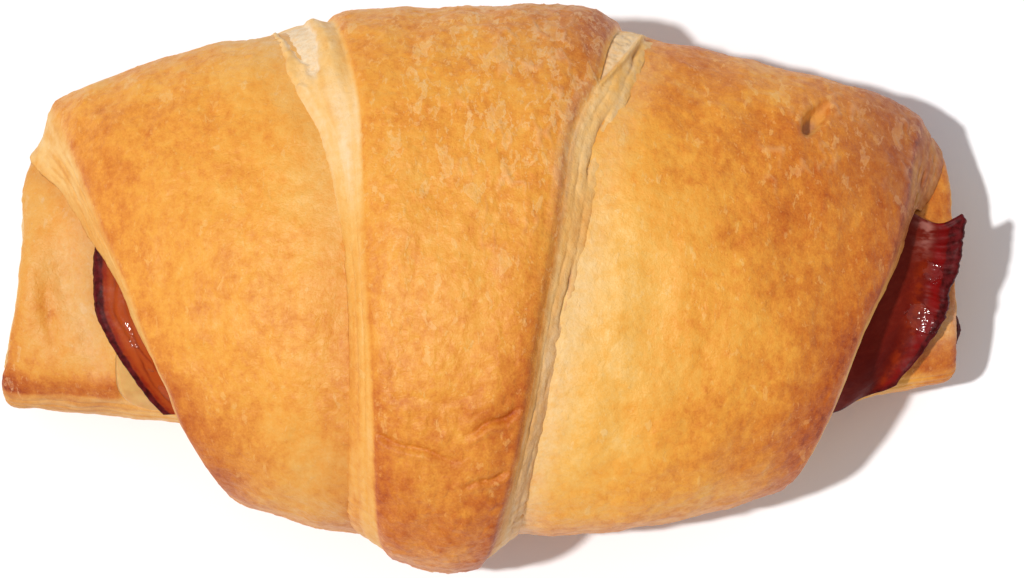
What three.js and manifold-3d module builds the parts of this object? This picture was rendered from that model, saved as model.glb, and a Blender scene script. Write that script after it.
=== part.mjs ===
// A baked croissant filled with ham and cheese, lying on its flat underside.
// One tapered sheet of dough is rolled up: a flat core roll, a wide wrap over it
// and a narrow tip band on top.
// A ham slice on a cheese slice runs between the core and the wide wrap and shows at both ends,
// and a second ham slice runs through the middle of the core.
// Millimetres, +Z up, +X along the roll, +Y towards its back. The origin is the middle of the base.
import * as THREE from "three";
import { mergeVertices } from "three/addons/utils/BufferGeometryUtils.js";
import Module from "manifold-3d";

const wasm = await Module();
wasm.setup();

// Driving sizes.
const BASE_MIDDLE = [0, -0.15, 0];
const LEFT_HUB = -73;
const RIGHT_HUB = 73;
const HAM_THICK = 2.2;
const INNER_HAM_THICK = 2.0;
const CHEESE_THICK = 1.0;
const CHEESE_BELOW = 0.45;
const HAM_LIFT = 0.6;
const GAP = 0.3;
const EMBED = 2.5;
const WIDEST_SHARE = 0.5;
const TOP_FULLNESS = 0.86;
const FOOT_FULLNESS = 0.5;

// A smooth curve through [position, value] pairs, held level beyond its ends.
function curveThrough(pairs) {
  const last = pairs.length - 1;
  const slopes = pairs.map((_, i) => {
    const [x0, y0] = pairs[Math.max(i - 1, 0)];
    const [x1, y1] = pairs[Math.min(i + 1, last)];
    return (y1 - y0) / (x1 - x0);
  });
  return (at) => {
    if (at <= pairs[0][0]) return pairs[0][1];
    if (at >= pairs[last][0]) return pairs[last][1];
    let i = 0;
    while (at > pairs[i + 1][0]) i += 1;
    const span = pairs[i + 1][0] - pairs[i][0];
    const t = (at - pairs[i][0]) / span;
    const t2 = t * t;
    const t3 = t2 * t;
    return (
      (2 * t3 - 3 * t2 + 1) * pairs[i][1] +
      (t3 - 2 * t2 + t) * span * slopes[i] +
      (3 * t2 - 2 * t3) * pairs[i + 1][1] +
      (t3 - t2) * span * slopes[i + 1]
    );
  };
}

const mix = (a, b, t) => a + (b - a) * t;
const smooth = (t) => THREE.MathUtils.smoothstep(t, 0, 1);
const bump = (distance, reach) => Math.exp(-((distance / reach) ** 2));

// Each layer's cross-section by its place along the roll:
// how far it reaches back and front, its top and its foot.
const LAYERS = [
  {
    back: curveThrough([
      [-76, 22.5], [-71, 24.2], [-60, 26], [-30, 27], [0, 28], [30, 27], [60, 26.5], [74, 23.5],
    ]),
    front: curveThrough([
      [-76, -17.3], [-67, -18.2], [-55, -18.9], [-45, -19.8], [0, -26], [30, -24], [56, -16.8],
      [65, -14.4], [74, -13.3],
    ]),
    top: curveThrough([[-76, 21.5], [-60, 27], [-30, 33], [0, 35], [30, 33], [60, 26], [74, 21]]),
    foot: curveThrough([[-75, 2.5], [-60, 1.5], [-30, 0.8], [0, 0.5], [30, 0.8], [60, 1.5], [74, 2.5]]),
  },
  {
    back: curveThrough([
      [-70, 30.2], [-60, 34], [-45, 38], [-25, 40.6], [0, 41.5], [25, 39], [45, 35.3], [60, 32],
      [72, 27.5],
    ]),
    front: curveThrough([
      [-70, -21], [-60, -25.5], [-45, -30.8], [-25, -37], [0, -38.3], [25, -36.8], [45, -31.8],
      [60, -24.5], [72, -17],
    ]),
    top: curveThrough([
      [-70, 30], [-60, 36.5], [-45, 44], [-25, 49.5], [0, 51], [25, 50], [45, 44.5], [60, 36.5],
      [72, 28],
    ]),
    foot: curveThrough([
      [-70, 1.5], [-60, 0.6], [-45, 0], [-25, -0.5], [0, -0.6], [25, -0.5], [45, 0], [60, 0.6],
      [72, 1.5],
    ]),
  },
  {
    back: curveThrough([[-35, 40.8], [-20, 43.2], [0, 43.6], [15, 43.4], [27, 40]]),
    front: curveThrough([[-35, -38.5], [-20, -41], [-6, -44], [5, -43.4], [15, -41.5], [27, -38.5]]),
    top: curveThrough([[-35, 50], [-20, 54.5], [0, 56], [15, 55], [27, 51]]),
    foot: curveThrough([[-35, -0.6], [-20, -0.8], [0, -1], [15, -0.8], [27, -0.6]]),
  },
];

// The point of a layer's section at a roll angle: 0 at the back, 90 on top, 180 at the front, -90 underneath.
function sectionPoint(layer, x, roll) {
  const back = layer.back(x);
  const front = layer.front(x);
  const top = layer.top(x);
  const foot = layer.foot(x);
  const across = Math.cos(roll * THREE.MathUtils.DEG2RAD);
  const up = Math.sin(roll * THREE.MathUtils.DEG2RAD);
  const widest = mix(foot, top, WIDEST_SHARE);
  const above = (top - widest) * Math.max(up, 0) ** TOP_FULLNESS;
  const below = (widest - foot) * Math.max(-up, 0) ** FOOT_FULLNESS;
  const y = (back + front) / 2 + ((back - front) / 2) * across;
  return new THREE.Vector3(x, y, widest + above - below);
}

function coreCentre(x) {
  const core = LAYERS[0];
  const z = mix(core.foot(x), core.top(x), WIDEST_SHARE);
  return new THREE.Vector3(x, (core.back(x) + core.front(x)) / 2, z);
}

// A point on the surface of a level, such as 1 or 1.5,
// lifted off it along the way out from the core's middle.
function skinPoint(x, roll, level, lift = 0) {
  const lower = THREE.MathUtils.clamp(Math.floor(level), 0, LAYERS.length - 2);
  const inner = sectionPoint(LAYERS[lower], x, roll);
  const outer = sectionPoint(LAYERS[lower + 1], x, roll);
  const point = inner.lerp(outer, level - lower);
  const outward = point.clone().sub(coreCentre(x)).normalize();
  return point.addScaledVector(outward, lift);
}

// The baked dough's slow swells, in millimetres.
function swell(x, roll, seed) {
  const angle = roll * THREE.MathUtils.DEG2RAD;
  return (
    0.35 * Math.sin(x / 6.1 + 1.7 * seed + 1.2 * Math.sin(2 * angle)) * Math.cos(3 * angle + seed) +
    0.22 * Math.sin(x / 3.7 - 2.3 * seed) * Math.sin(5 * angle + 0.4 * x + seed)
  );
}

// The dent in the core's left end, beside the ham.
const coreDent = (x, roll) => -1.7 * bump(x + 65.5, 4) * bump(roll - 104, 26);

// A manifold solid from shared points and triangles.
function solidFrom(points, triangles) {
  return new wasm.Manifold(
    new wasm.Mesh({
      numProp: 3,
      vertProperties: Float32Array.from(points.flatMap((p) => [p.x, p.y, p.z])),
      triVerts: Uint32Array.from(triangles.flat()),
    }),
  );
}

// A three.js geometry as a manifold solid.
function solidOf(geometry) {
  const bare = new THREE.BufferGeometry()
    .setAttribute("position", geometry.getAttribute("position"))
    .setIndex(geometry.getIndex());
  const merged = mergeVertices(bare, 1e-4);
  return new wasm.Manifold(
    new wasm.Mesh({
      numProp: 3,
      vertProperties: merged.getAttribute("position").array,
      triVerts: new Uint32Array(merged.getIndex().array),
    }),
  );
}

// The core: a closed tube of sections, rounded off into both ends and coarser where the wraps hide it.
const CORE_ROUNDS = 40;
const END_ROUNDING = 3.2;
const CORE_SHARES = [
  0.03, 0.06, 0.09, 0.12, 0.155, 0.19, 0.23, 0.28, 0.4, 0.55, 0.7, 0.8, 0.86, 0.9, 0.93, 0.965,
];
const coreLeftEnd = curveThrough([
  [-180, -75.8], [-90, -73.5], [0, -71], [25, -71.3], [76, -72], [102, -72.9], [118, -74],
  [138, -75.3], [152, -76.1], [180, -75.8],
]);
const coreRightEnd = curveThrough([
  [-180, 74], [-90, 72.8], [0, 71.6], [20, 72.8], [60, 73.6], [111, 74.1], [138, 74.3],
  [162, 74.4], [180, 74],
]);

// Each step inwards from an end: its distance along and how far it is pulled in towards the middle.
const END_STEPS = [
  { along: 0, pull: 0.55 },
  { along: 0, pull: 0.14 },
  { along: 0.3, pull: 0.04 },
  { along: 1, pull: 0 },
];

function coreSolid() {
  const points = [];
  const triangles = [];
  const stations = [
    ...END_STEPS.map(({ along, pull }) => ({ share: 0, offset: along * END_ROUNDING, pull })),
    ...CORE_SHARES.map((share) => ({ share, offset: 0, pull: 0 })),
    ...[...END_STEPS].reverse().map(({ along, pull }) => ({ share: 1, offset: -along * END_ROUNDING, pull })),
  ];
  stations.forEach(({ share, offset, pull }) => {
    for (let r = 0; r < CORE_ROUNDS; r += 1) {
      const roll = -180 + (360 * r) / CORE_ROUNDS;
      const from = coreLeftEnd(roll) + END_ROUNDING * (share > 0 ? 1 : 0);
      const to = coreRightEnd(roll) - END_ROUNDING * (share < 1 ? 1 : 0);
      const x = mix(from, to, share) + offset;
      const lift = swell(x, roll, 0.3) + coreDent(x, roll);
      const hub = coreCentre(share > 0 ? RIGHT_HUB : LEFT_HUB);
      points.push(skinPoint(x, roll, 0, lift).lerp(hub, pull));
    }
  });
  for (let s = 0; s + 1 < stations.length; s += 1) {
    for (let r = 0; r < CORE_ROUNDS; r += 1) {
      const next = (r + 1) % CORE_ROUNDS;
      const [a, b] = [s * CORE_ROUNDS + r, s * CORE_ROUNDS + next];
      const [c, d] = [a + CORE_ROUNDS, b + CORE_ROUNDS];
      triangles.push([a, b, c], [b, d, c]);
    }
  }
  const leftHub = points.push(coreCentre(LEFT_HUB)) - 1;
  const rightHub = points.push(coreCentre(RIGHT_HUB)) - 1;
  const lastRing = (stations.length - 1) * CORE_ROUNDS;
  for (let r = 0; r < CORE_ROUNDS; r += 1) {
    const next = (r + 1) % CORE_ROUNDS;
    triangles.push([leftHub, next, r], [rightHub, lastRing + r, lastRing + next]);
  }
  return solidFrom(points, triangles);
}

// A sheet of dough over part of a turn, solid down to the roll's middle.
// Its cut sides slope from top edge to foot. With a tongue, its end goes on a little further,
// sunk on every side, so that the next part grips it.
function wrapSolid(sheet, from, to, rounds, tongue = 0) {
  const points = [];
  const triangles = [];
  const leftHub = points.push(coreCentre(sheet.hubs[0])) - 1;
  const rightHub = points.push(coreCentre(sheet.hubs[1])) - 1;
  const rows = [];
  const steps = tongue > 0 ? rounds + 1 : rounds;
  for (let i = 0; i <= steps; i += 1) {
    const sunk = i > rounds ? 1.5 : 0;
    const roll = i > rounds ? to + tongue : mix(from, to, i / rounds);
    const under = sheet.under(roll);
    const level = sheet.level(roll);
    const full = THREE.MathUtils.clamp(level - under, 0, 1);
    const [leftFoot, leftTop] = sheet.edges.slice(0, 2).map((edge) => edge(roll) + sunk);
    const [rightTop, rightFoot] = sheet.edges.slice(2).map((edge) => edge(roll) - sunk);
    // The cut side: buried foot, start of the side, a notch between plies, the ply above it and the shoulder.
    const side = (foot, top, inward) => [
      skinPoint(foot, roll, under, -EMBED - sunk),
      skinPoint(foot, roll, under, 0.3 * full - sunk),
      skinPoint(mix(foot, top, 0.52) + 0.35 * inward, roll, mix(under, level, 0.48), -sunk),
      skinPoint(mix(foot, top, 0.7), roll, mix(under, level, 0.6), -sunk),
      skinPoint(top, roll, level, -1.5 * full - sunk),
      skinPoint(top + 0.9 * inward, roll, level, -0.6 * full - sunk),
    ];
    const row = side(leftFoot, leftTop, 1);
    for (let j = 1; j < sheet.across; j += 1) {
      const x = mix(leftTop + 0.9, rightTop - 0.9, j / sheet.across);
      const edge = Math.min(x - leftTop, rightTop - x);
      row.push(skinPoint(x, roll, level, swell(x, roll, sheet.seed) - 0.6 * full * bump(edge, 3.2) - sunk));
    }
    row.push(...side(rightFoot, rightTop, -1).reverse());
    rows.push(row.map((p) => points.push(p) - 1));
  }
  const width = rows[0].length;
  for (let i = 0; i < steps; i += 1) {
    const [row, next] = [rows[i], rows[i + 1]];
    for (let j = 0; j + 1 < width; j += 1) {
      triangles.push([row[j], next[j], row[j + 1]], [next[j], next[j + 1], row[j + 1]]);
    }
    triangles.push([leftHub, next[0], row[0]], [rightHub, row[width - 1], next[width - 1]]);
  }
  // The walls at the start and the end of the sheet.
  const [first, last] = [rows[0], rows[steps]];
  for (let j = 0; j + 1 < width; j += 1) {
    triangles.push([leftHub, first[j], first[j + 1]], [leftHub, last[j + 1], last[j]]);
  }
  triangles.push([leftHub, first[width - 1], rightHub], [leftHub, rightHub, last[width - 1]]);
  return solidFrom(points, triangles);
}

// How far the sheet has climbed by one layer on its way underneath, from the roll's front to its back.
const climb = (roll) => mix(-0.2, 1, smooth((roll + 180) / 175));

// The wide wrap: underneath from the core's front, up the back, over the top and down to the front.
// Its edges are given by roll angle, in the order left foot, left top, right top, right foot.
const WIDE = {
  across: 21,
  seed: 0.8,
  hubs: [-30, 35],
  under: () => 0,
  level: climb,
  edges: [
    curveThrough([
      [-180, -72.4], [-90, -72], [-20, -71.6], [10, -71.3], [27, -70.6], [43, -68.5], [56, -66.2],
      [66, -64.3], [75, -62.4], [83, -60.9], [97, -56.5], [112, -53.1], [133, -48.3], [154, -45],
      [170, -42.7], [190, -41.6],
    ]),
    curveThrough([
      [-180, -72], [-90, -70.2], [-20, -67.9], [8, -66.9], [24, -66.3], [54, -63.7], [77, -59.9],
      [97, -55.4], [112, -52], [122, -49.6], [133, -47.1], [141, -46], [154, -43.7], [170, -41.4],
      [190, -40.4],
    ]),
    curveThrough([
      [-180, 70.6], [-90, 70.2], [-20, 69.8], [0, 69.9], [24, 69.3], [56, 67.2], [72, 66.2],
      [82, 65], [93, 63.7], [102, 61.9], [110, 60], [120, 57.9], [137, 54.9], [157, 51.6],
      [181, 48.2], [190, 46.4],
    ]),
    curveThrough([
      [-180, 71], [-90, 71.8], [-20, 72.2], [10, 72.4], [36, 72.2], [56, 70.6], [68, 68.6],
      [80, 66.5], [93, 64.8], [110, 61.2], [127, 57.8], [146, 54.4], [162, 52], [190, 47.6],
    ]),
  ],
};

// The tip band: the same sheet a turn later, narrowing to a rounded tip that tucks in under the front.
const TIP = {
  across: 11,
  seed: 1.4,
  hubs: [-9, -3],
  under: climb,
  level: (roll) => 1 + climb(roll) - 0.9 * smooth((roll - 186) / 24),
  edges: [
    curveThrough([
      [-180, -40.8], [-90, -38.4], [-20, -35], [7, -33.2], [27, -31.3], [40, -29.8], [49, -28.4],
      [59, -25.4], [69, -23.6], [79, -22.3], [90, -21.1], [106, -20.4], [143, -20.3], [168, -20.3],
      [182, -18.8], [194, -15.6], [206, -10],
    ]),
    curveThrough([
      [-180, -40], [-90, -35.4], [-20, -27.6], [3, -24.8], [37, -21.2], [51, -19.6], [62, -19],
      [84, -18.3], [104, -17.3], [126, -16.2], [140, -16], [163, -15.2], [186, -13.8],
      [196, -11.6], [206, -8],
    ]),
    curveThrough([
      [-180, 45.6], [-90, 35], [-20, 24.5], [10, 21], [29, 19.2], [47, 17.3], [55, 14.9],
      [64, 13.2], [75, 12.2], [90, 10.5], [108, 8.3], [130, 5.9], [153, 3], [180, 0.6],
      [194, -1.6], [206, -5.6],
    ]),
    curveThrough([
      [-180, 46.6], [-90, 37], [-20, 30], [10, 27.4], [27, 25.3], [42, 23.3], [55, 20.6],
      [65, 18.5], [83, 16.1], [94, 14.6], [108, 12.1], [133, 8.8], [149, 7], [173, 5.7],
      [182, 5.2], [194, 1.6], [206, -4],
    ]),
  ],
};

// A slab of a slice with its outline at both ends
// and the same stations as its neighbours in the hidden middle.
const MIDDLE_STATIONS = [-38, -26, -13, 0, 13, 26, 38, 46];

function stationsOf(slice, round, grow) {
  // The room for a slice that ends near a face of the dough opens well through that face.
  const beyond = grow > 0 ? grow + (slice.mouth ?? 0) : 0;
  const left = slice.left(round) - beyond;
  const right = slice.right(round) + beyond;
  const first = MIDDLE_STATIONS[0];
  const last = MIDDLE_STATIONS[MIDDLE_STATIONS.length - 1];
  const leftPart = slice.leftShares.map((share) => mix(left, first, share));
  const rightPart = slice.rightShares.map((share) => mix(last, right, share));
  return [...leftPart, ...MIDDLE_STATIONS, ...rightPart];
}

function sliceSolid(slice, grow = 0) {
  const points = [];
  const triangles = [];
  const columns = slice.rounds.map((round) => stationsOf(slice, round, grow));
  const alongSteps = columns[0].length - 1;
  const roundSteps = columns.length - 1;
  const index = (side, i, j) => (side * (alongSteps + 1) + i) * (roundSteps + 1) + j;
  for (const side of [-1, 1]) {
    for (let i = 0; i <= alongSteps; i += 1) {
      for (let j = 0; j <= roundSteps; j += 1) {
        const outward = j === 0 ? -grow : j === roundSteps ? grow : 0;
        points.push(slice.point(columns[j][i], slice.rounds[j], outward, side, grow));
      }
    }
  }
  for (let i = 0; i < alongSteps; i += 1) {
    for (let j = 0; j < roundSteps; j += 1) {
      const corners = [[i, j], [i + 1, j], [i, j + 1], [i + 1, j + 1]];
      const lower = corners.map(([u, v]) => index(0, u, v));
      const upper = corners.map(([u, v]) => index(1, u, v));
      triangles.push([lower[0], lower[1], lower[2]], [lower[2], lower[1], lower[3]]);
      triangles.push([upper[0], upper[2], upper[1]], [upper[2], upper[3], upper[1]]);
    }
  }
  const rim = [];
  for (let i = 0; i < alongSteps; i += 1) rim.push([i, 0]);
  for (let j = 0; j < roundSteps; j += 1) rim.push([alongSteps, j]);
  for (let i = alongSteps; i > 0; i -= 1) rim.push([i, roundSteps]);
  for (let j = roundSteps; j > 0; j -= 1) rim.push([0, j]);
  rim.forEach(([i, j], at) => {
    const [ni, nj] = rim[(at + 1) % rim.length];
    const [a, b] = [index(0, i, j), index(0, ni, nj)];
    const [c, d] = [index(1, i, j), index(1, ni, nj)];
    triangles.push([a, c, b], [b, c, d]);
  });
  return solidFrom(points, triangles);
}

// Where the ham's left and right ends lie, by share round the roll from its back edge to its front edge.
const hamLeft = curveThrough([
  [0, -60.4], [0.13, -61], [0.31, -60.7], [0.38, -60.1], [0.47, -58.6], [0.58, -57.1],
  [0.7, -55.3], [0.84, -53.1], [0.94, -51.2], [1, -49.6],
]);
const hamRight = curveThrough([
  [0, 75.5], [0.04, 75.4], [0.11, 74.9], [0.18, 74.6], [0.28, 73.8], [0.35, 73.1], [0.43, 72.2],
  [0.56, 71.5], [0.64, 70.1], [0.74, 68.4], [0.85, 66.1], [0.95, 64.9], [1, 63.2],
]);
// The roll angles of the ham's back and front edges, by place along the roll.
const hamBackRoll = curveThrough([
  [-61, 84.5], [-40, 82], [46, 66], [60, 67], [64, 70.5], [67, 73], [70.4, 75.4], [72, 76],
  [73.7, 74.2], [75.5, 70.6],
]);
const hamFrontRoll = curveThrough([
  [-61, 150], [-50, 154.5], [-40, 157], [46, 159], [52, 153], [56, 149.5], [58.6, 147.7],
  [61.3, 144], [63.3, 141], [66, 138], [70, 136], [76, 134.5],
]);

// How the ham's right end cups: down in a gutter and up again at its rim.
function hamCurl(x, round) {
  const fromRim = hamRight(round) - x;
  const nearEnd = smooth((x - 52) / 12);
  return nearEnd * (1.9 * bump(fromRim, 2.4) - 0.9 * bump(fromRim - 6.5, 3.4));
}

// A slice's place on the core, on a slow wave that the ham and the cheese share.
function slicePoint(x, round, outward, lift) {
  const roll = mix(hamBackRoll(x), hamFrontRoll(x), round) + outward * 1.8;
  const wave = 0.35 * Math.sin(x / 7.3 + 4 * round);
  return skinPoint(x, roll, 0, lift + wave);
}

const HAM = {
  left: hamLeft,
  right: hamRight,
  leftShares: [0, 0.07, 0.2, 0.4, 0.7],
  rightShares: [0.12, 0.26, 0.4, 0.52, 0.63, 0.73, 0.82, 0.9, 0.96, 1],
  rounds: [0, 0.06, 0.14, 0.23, 0.33, 0.44, 0.55, 0.66, 0.76, 0.86, 0.94, 1],
  point(x, round, outward, side, grow) {
    const middle = HAM_LIFT + HAM_THICK / 2 + hamCurl(x, round);
    return slicePoint(x, round, outward, middle + side * (HAM_THICK / 2 + grow));
  },
};

// The cheese under the ham: shorter than the ham, but melted out past its rim in one lobe at the left.
const CHEESE = {
  left: curveThrough([
    [0, -57], [0.3, -57.4], [0.52, -56.8], [0.7, -57.4], [0.88, -57.2], [1, -56.2], [1.1, -53.6],
  ]),
  right: curveThrough([[0, 66], [0.5, 65], [1, 54], [1.1, 50]]),
  leftShares: [0, 0.12, 0.35, 0.7],
  rightShares: [0.3, 0.6, 0.85, 1],
  rounds: [0.14, 0.33, 0.55, 0.76, 0.9, 1, 1.08],
  point(x, round, outward, side, grow) {
    const under = HAM_LIFT - CHEESE_BELOW - CHEESE_THICK / 2 + Math.min(hamCurl(x, round), 0);
    // The room for the cheese opens into the ham's room, so that no dough is left between the two.
    const opened = grow > 0 && side > 0 ? CHEESE_BELOW + 0.3 : 0;
    return slicePoint(x, round, outward, under + opened + side * (CHEESE_THICK / 2 + grow));
  },
};

// The second ham slice, a low arch through the middle of the core. It shows a little at the right end.
const INNER_HAM = {
  left: (round) => mix(-71.7, -73.4, round),
  right: (round) => mix(73.5, 75.1, bump(round - 0.86, 0.15)),
  mouth: 4,
  leftShares: [0, 0.2, 0.6],
  rightShares: [0.4, 0.8, 1],
  rounds: [0, 0.17, 0.34, 0.5, 0.67, 0.84, 1],
  point(x, round, outward, side, grow) {
    const core = coreCentre(x);
    const sideways = mix(7, -13, round) - outward;
    const arch = 2.2 * (1 - ((round - 0.5) * 2) ** 2) + 0.5 * Math.sin(x / 9);
    const z = core.z + 0.6 + arch + side * (INNER_HAM_THICK / 2 + grow);
    return new THREE.Vector3(x, core.y + sideways, z);
  },
};

// The small open blister in the wide wrap, towards its right end.
function blister() {
  const hollow = new THREE.SphereGeometry(1, 10, 7);
  hollow.scale(1.5, 4, 2.4);
  hollow.rotateZ(-0.45);
  hollow.rotateX(-0.79);
  hollow.translate(51.5, 25.2, 36.2);
  return solidOf(hollow);
}

// The dough is all its wraps fused, cut flat underneath, with the room for its filling taken out.
function doughSolid() {
  const room = new THREE.BoxGeometry(220, 140, 90).translate(0, 0, 45);
  return coreSolid()
    .add(wrapSolid(WIDE, -180, -30, 12, 10))
    .add(wrapSolid(WIDE, -30, 190, 34))
    .add(wrapSolid(TIP, -180, -30, 10, 10))
    .add(wrapSolid(TIP, -30, 206, 34))
    .intersect(solidOf(room))
    .subtract(sliceSolid(HAM, GAP))
    .subtract(sliceSolid(CHEESE, GAP))
    .subtract(sliceSolid(INNER_HAM, GAP))
    .subtract(blister());
}

// The named mesh of a solid.
function meshOf(name, solid, color, roughness) {
  const made = solid.getMesh();
  const geometry = new THREE.BufferGeometry()
    .setAttribute("position", new THREE.BufferAttribute(new Float32Array(made.vertProperties), 3))
    .setIndex(new THREE.BufferAttribute(new Uint32Array(made.triVerts), 1));
  geometry.computeVertexNormals();
  const mesh = new THREE.Mesh(geometry, new THREE.MeshStandardMaterial({ color, roughness, metalness: 0 }));
  mesh.name = name;
  return mesh;
}

const croissant = new THREE.Group();
croissant.name = "croissant";
croissant.add(
  meshOf("dough", doughSolid(), 0xe09a4a, 0.55),
  meshOf("ham", sliceSolid(HAM), 0x8c3a24, 0.3),
  meshOf("inner_ham", sliceSolid(INNER_HAM), 0x7a3426, 0.35),
  meshOf("cheese", sliceSolid(CHEESE), 0xe6b368, 0.3),
);

// The middle of the base comes to the origin.
croissant.position.set(...BASE_MIDDLE).negate();

export default croissant;
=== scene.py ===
"""The looks of a ham and cheese croissant: blistered crust, layered cut sides, glossy ham and melted cheese.

Shapes are worked out in millimetres with the section functions of the solids, then put into metres.
A roll angle runs round the roll: 0 at the back, 90 on top, 180 at the front, -90 underneath.
A level is a layer's place in the roll: 0 for the core, 1 for the wide wrap, 2 for the tip band.
"""
import math

import bmesh
import bpy
import numpy as np
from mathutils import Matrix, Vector


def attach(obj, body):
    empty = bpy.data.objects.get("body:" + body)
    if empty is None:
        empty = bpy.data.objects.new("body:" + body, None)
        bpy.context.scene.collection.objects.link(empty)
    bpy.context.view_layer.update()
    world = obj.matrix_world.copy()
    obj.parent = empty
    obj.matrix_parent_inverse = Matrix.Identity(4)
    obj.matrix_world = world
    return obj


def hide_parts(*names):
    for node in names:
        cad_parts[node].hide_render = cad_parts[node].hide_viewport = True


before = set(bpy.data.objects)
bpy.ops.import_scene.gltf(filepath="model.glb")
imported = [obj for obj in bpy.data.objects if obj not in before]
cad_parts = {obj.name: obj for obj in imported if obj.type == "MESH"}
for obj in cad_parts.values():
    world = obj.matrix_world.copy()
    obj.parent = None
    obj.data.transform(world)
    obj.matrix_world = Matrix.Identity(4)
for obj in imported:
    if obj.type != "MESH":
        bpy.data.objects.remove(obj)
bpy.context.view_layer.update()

MM = 0.001
# The middle of the base in these millimetres, which is the origin in metres.
BASE_MIDDLE = np.array([0.0, -0.15, 0.0])

# The camera looks down from just in front of straight above.
CAMERA_TILT = math.radians(7)
CAMERA_DISTANCE = 0.9
CAMERA_TARGET = Vector((0.00436, -0.0002, 0.027))
METRES_PER_PIXEL = 0.0001556
FRAME_WIDTH = 1024
SENSOR = 36.0

# The light travels this way: from the left, a little from the front, and steeply down.
LIGHT_WAY = Vector((0.40, 0.10, -1.0))
LIGHT_SPREAD = math.radians(2.6)
LIGHT_STRENGTH = 2.6
LIGHT_COLOR = (1.0, 0.975, 0.94)
SKY_COLOR = (1.0, 0.965, 0.975, 1)
SKY_STRENGTH = 0.46
FLOOR_REACH = 1.5


# Smooth curves and the layers' sections.

def curve_through(*pairs):
    """A smooth curve through (position, value) pairs, held level beyond its ends."""
    at, value = np.array(pairs, float).T
    rise = np.append(value[1:], value[-1]) - np.append(value[0], value[:-1])
    run = np.append(at[1:], at[-1]) - np.append(at[0], at[:-1])
    slope = rise / run

    def curve(x):
        x = np.clip(x, at[0], at[-1])
        i = np.clip(np.searchsorted(at, x, side="right") - 1, 0, len(at) - 2)
        span = at[i + 1] - at[i]
        t = (x - at[i]) / span
        t2, t3 = t * t, t * t * t
        ends = (2 * t3 - 3 * t2 + 1) * value[i] + (3 * t2 - 2 * t3) * value[i + 1]
        return ends + span * ((t3 - 2 * t2 + t) * slope[i] + (t3 - t2) * slope[i + 1])

    return curve


def steady(value):
    return curve_through((0, value), (1, value))


def mix(a, b, t):
    return a + (b - a) * t


def smooth(t):
    t = np.clip(t, 0.0, 1.0)
    return t * t * (3 - 2 * t)


def step(low, high, value):
    """0 at low and 1 at high, and level beyond them."""
    return smooth((value - low) / (high - low))


def bump(distance, reach):
    return np.exp(-((distance / reach) ** 2))


WIDEST_SHARE = 0.5
TOP_FULLNESS = 0.86
FOOT_FULLNESS = 0.5

LAYERS = [
    {
        "back": curve_through(
            (-76, 22.5), (-71, 24.2), (-60, 26), (-30, 27), (0, 28), (30, 27), (60, 26.5), (74, 23.5)),
        "front": curve_through(
            (-76, -17.3), (-67, -18.2), (-55, -18.9), (-45, -19.8), (0, -26), (30, -24), (56, -16.8),
            (65, -14.4), (74, -13.3)),
        "top": curve_through((-76, 21.5), (-60, 27), (-30, 33), (0, 35), (30, 33), (60, 26), (74, 21)),
        "foot": curve_through((-75, 2.5), (-60, 1.5), (-30, 0.8), (0, 0.5), (30, 0.8), (60, 1.5), (74, 2.5)),
    },
    {
        "back": curve_through(
            (-70, 30.2), (-60, 34), (-45, 38), (-25, 40.6), (0, 41.5), (25, 39), (45, 35.3), (60, 32),
            (72, 27.5)),
        "front": curve_through(
            (-70, -21), (-60, -25.5), (-45, -30.8), (-25, -37), (0, -38.3), (25, -36.8), (45, -31.8),
            (60, -24.5), (72, -17)),
        "top": curve_through(
            (-70, 30), (-60, 36.5), (-45, 44), (-25, 49.5), (0, 51), (25, 50), (45, 44.5), (60, 36.5),
            (72, 28)),
        "foot": curve_through(
            (-70, 1.5), (-60, 0.6), (-45, 0), (-25, -0.5), (0, -0.6), (25, -0.5), (45, 0), (60, 0.6),
            (72, 1.5)),
    },
    {
        "back": curve_through((-35, 40.8), (-20, 43.2), (0, 43.6), (15, 43.4), (27, 40)),
        "front": curve_through((-35, -38.5), (-20, -41), (-6, -44), (5, -43.4), (15, -41.5), (27, -38.5)),
        "top": curve_through((-35, 50), (-20, 54.5), (0, 56), (15, 55), (27, 51)),
        "foot": curve_through((-35, -0.6), (-20, -0.8), (0, -1), (15, -0.8), (27, -0.6)),
    },
]


def section_point(layer, x, roll):
    back, front = layer["back"](x), layer["front"](x)
    top, foot = layer["top"](x), layer["foot"](x)
    across, up = np.cos(np.radians(roll)), np.sin(np.radians(roll))
    widest = mix(foot, top, WIDEST_SHARE)
    above = widest + (top - widest) * np.maximum(up, 0) ** TOP_FULLNESS
    below = widest - (widest - foot) * np.maximum(-up, 0) ** FOOT_FULLNESS
    y = (back + front) / 2 + (back - front) / 2 * across
    return np.stack([x + 0 * y, y, np.where(up >= 0, above, below)], axis=-1)


def core_centre(x):
    core = LAYERS[0]
    y = (core["back"](x) + core["front"](x)) / 2
    z = mix(core["foot"](x), core["top"](x), WIDEST_SHARE)
    return np.stack([x + 0 * y, y, z], axis=-1)


def skin_point(x, roll, level, lift=0.0):
    """A point on the surface of a level, lifted off it along the way out from the core's middle."""
    x, roll, level, lift = np.broadcast_arrays(np.asarray(x, float), roll, level, lift)
    low, middle, high = (section_point(layer, x, roll) for layer in LAYERS)
    share = level[..., None]
    point = np.where(share < 1, mix(low, middle, share), mix(middle, high, share - 1))
    outward = point - core_centre(x)
    outward /= np.linalg.norm(outward, axis=-1, keepdims=True)
    return point + outward * lift[..., None]


def swell(x, roll, seed):
    """The baked dough's slow swells, the same as in the solids."""
    angle = np.radians(roll)
    broad = 0.35 * np.sin(x / 6.1 + 1.7 * seed + 1.2 * np.sin(2 * angle)) * np.cos(3 * angle + seed)
    return broad + 0.22 * np.sin(x / 3.7 - 2.3 * seed) * np.sin(5 * angle + 0.4 * x + seed)


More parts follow.
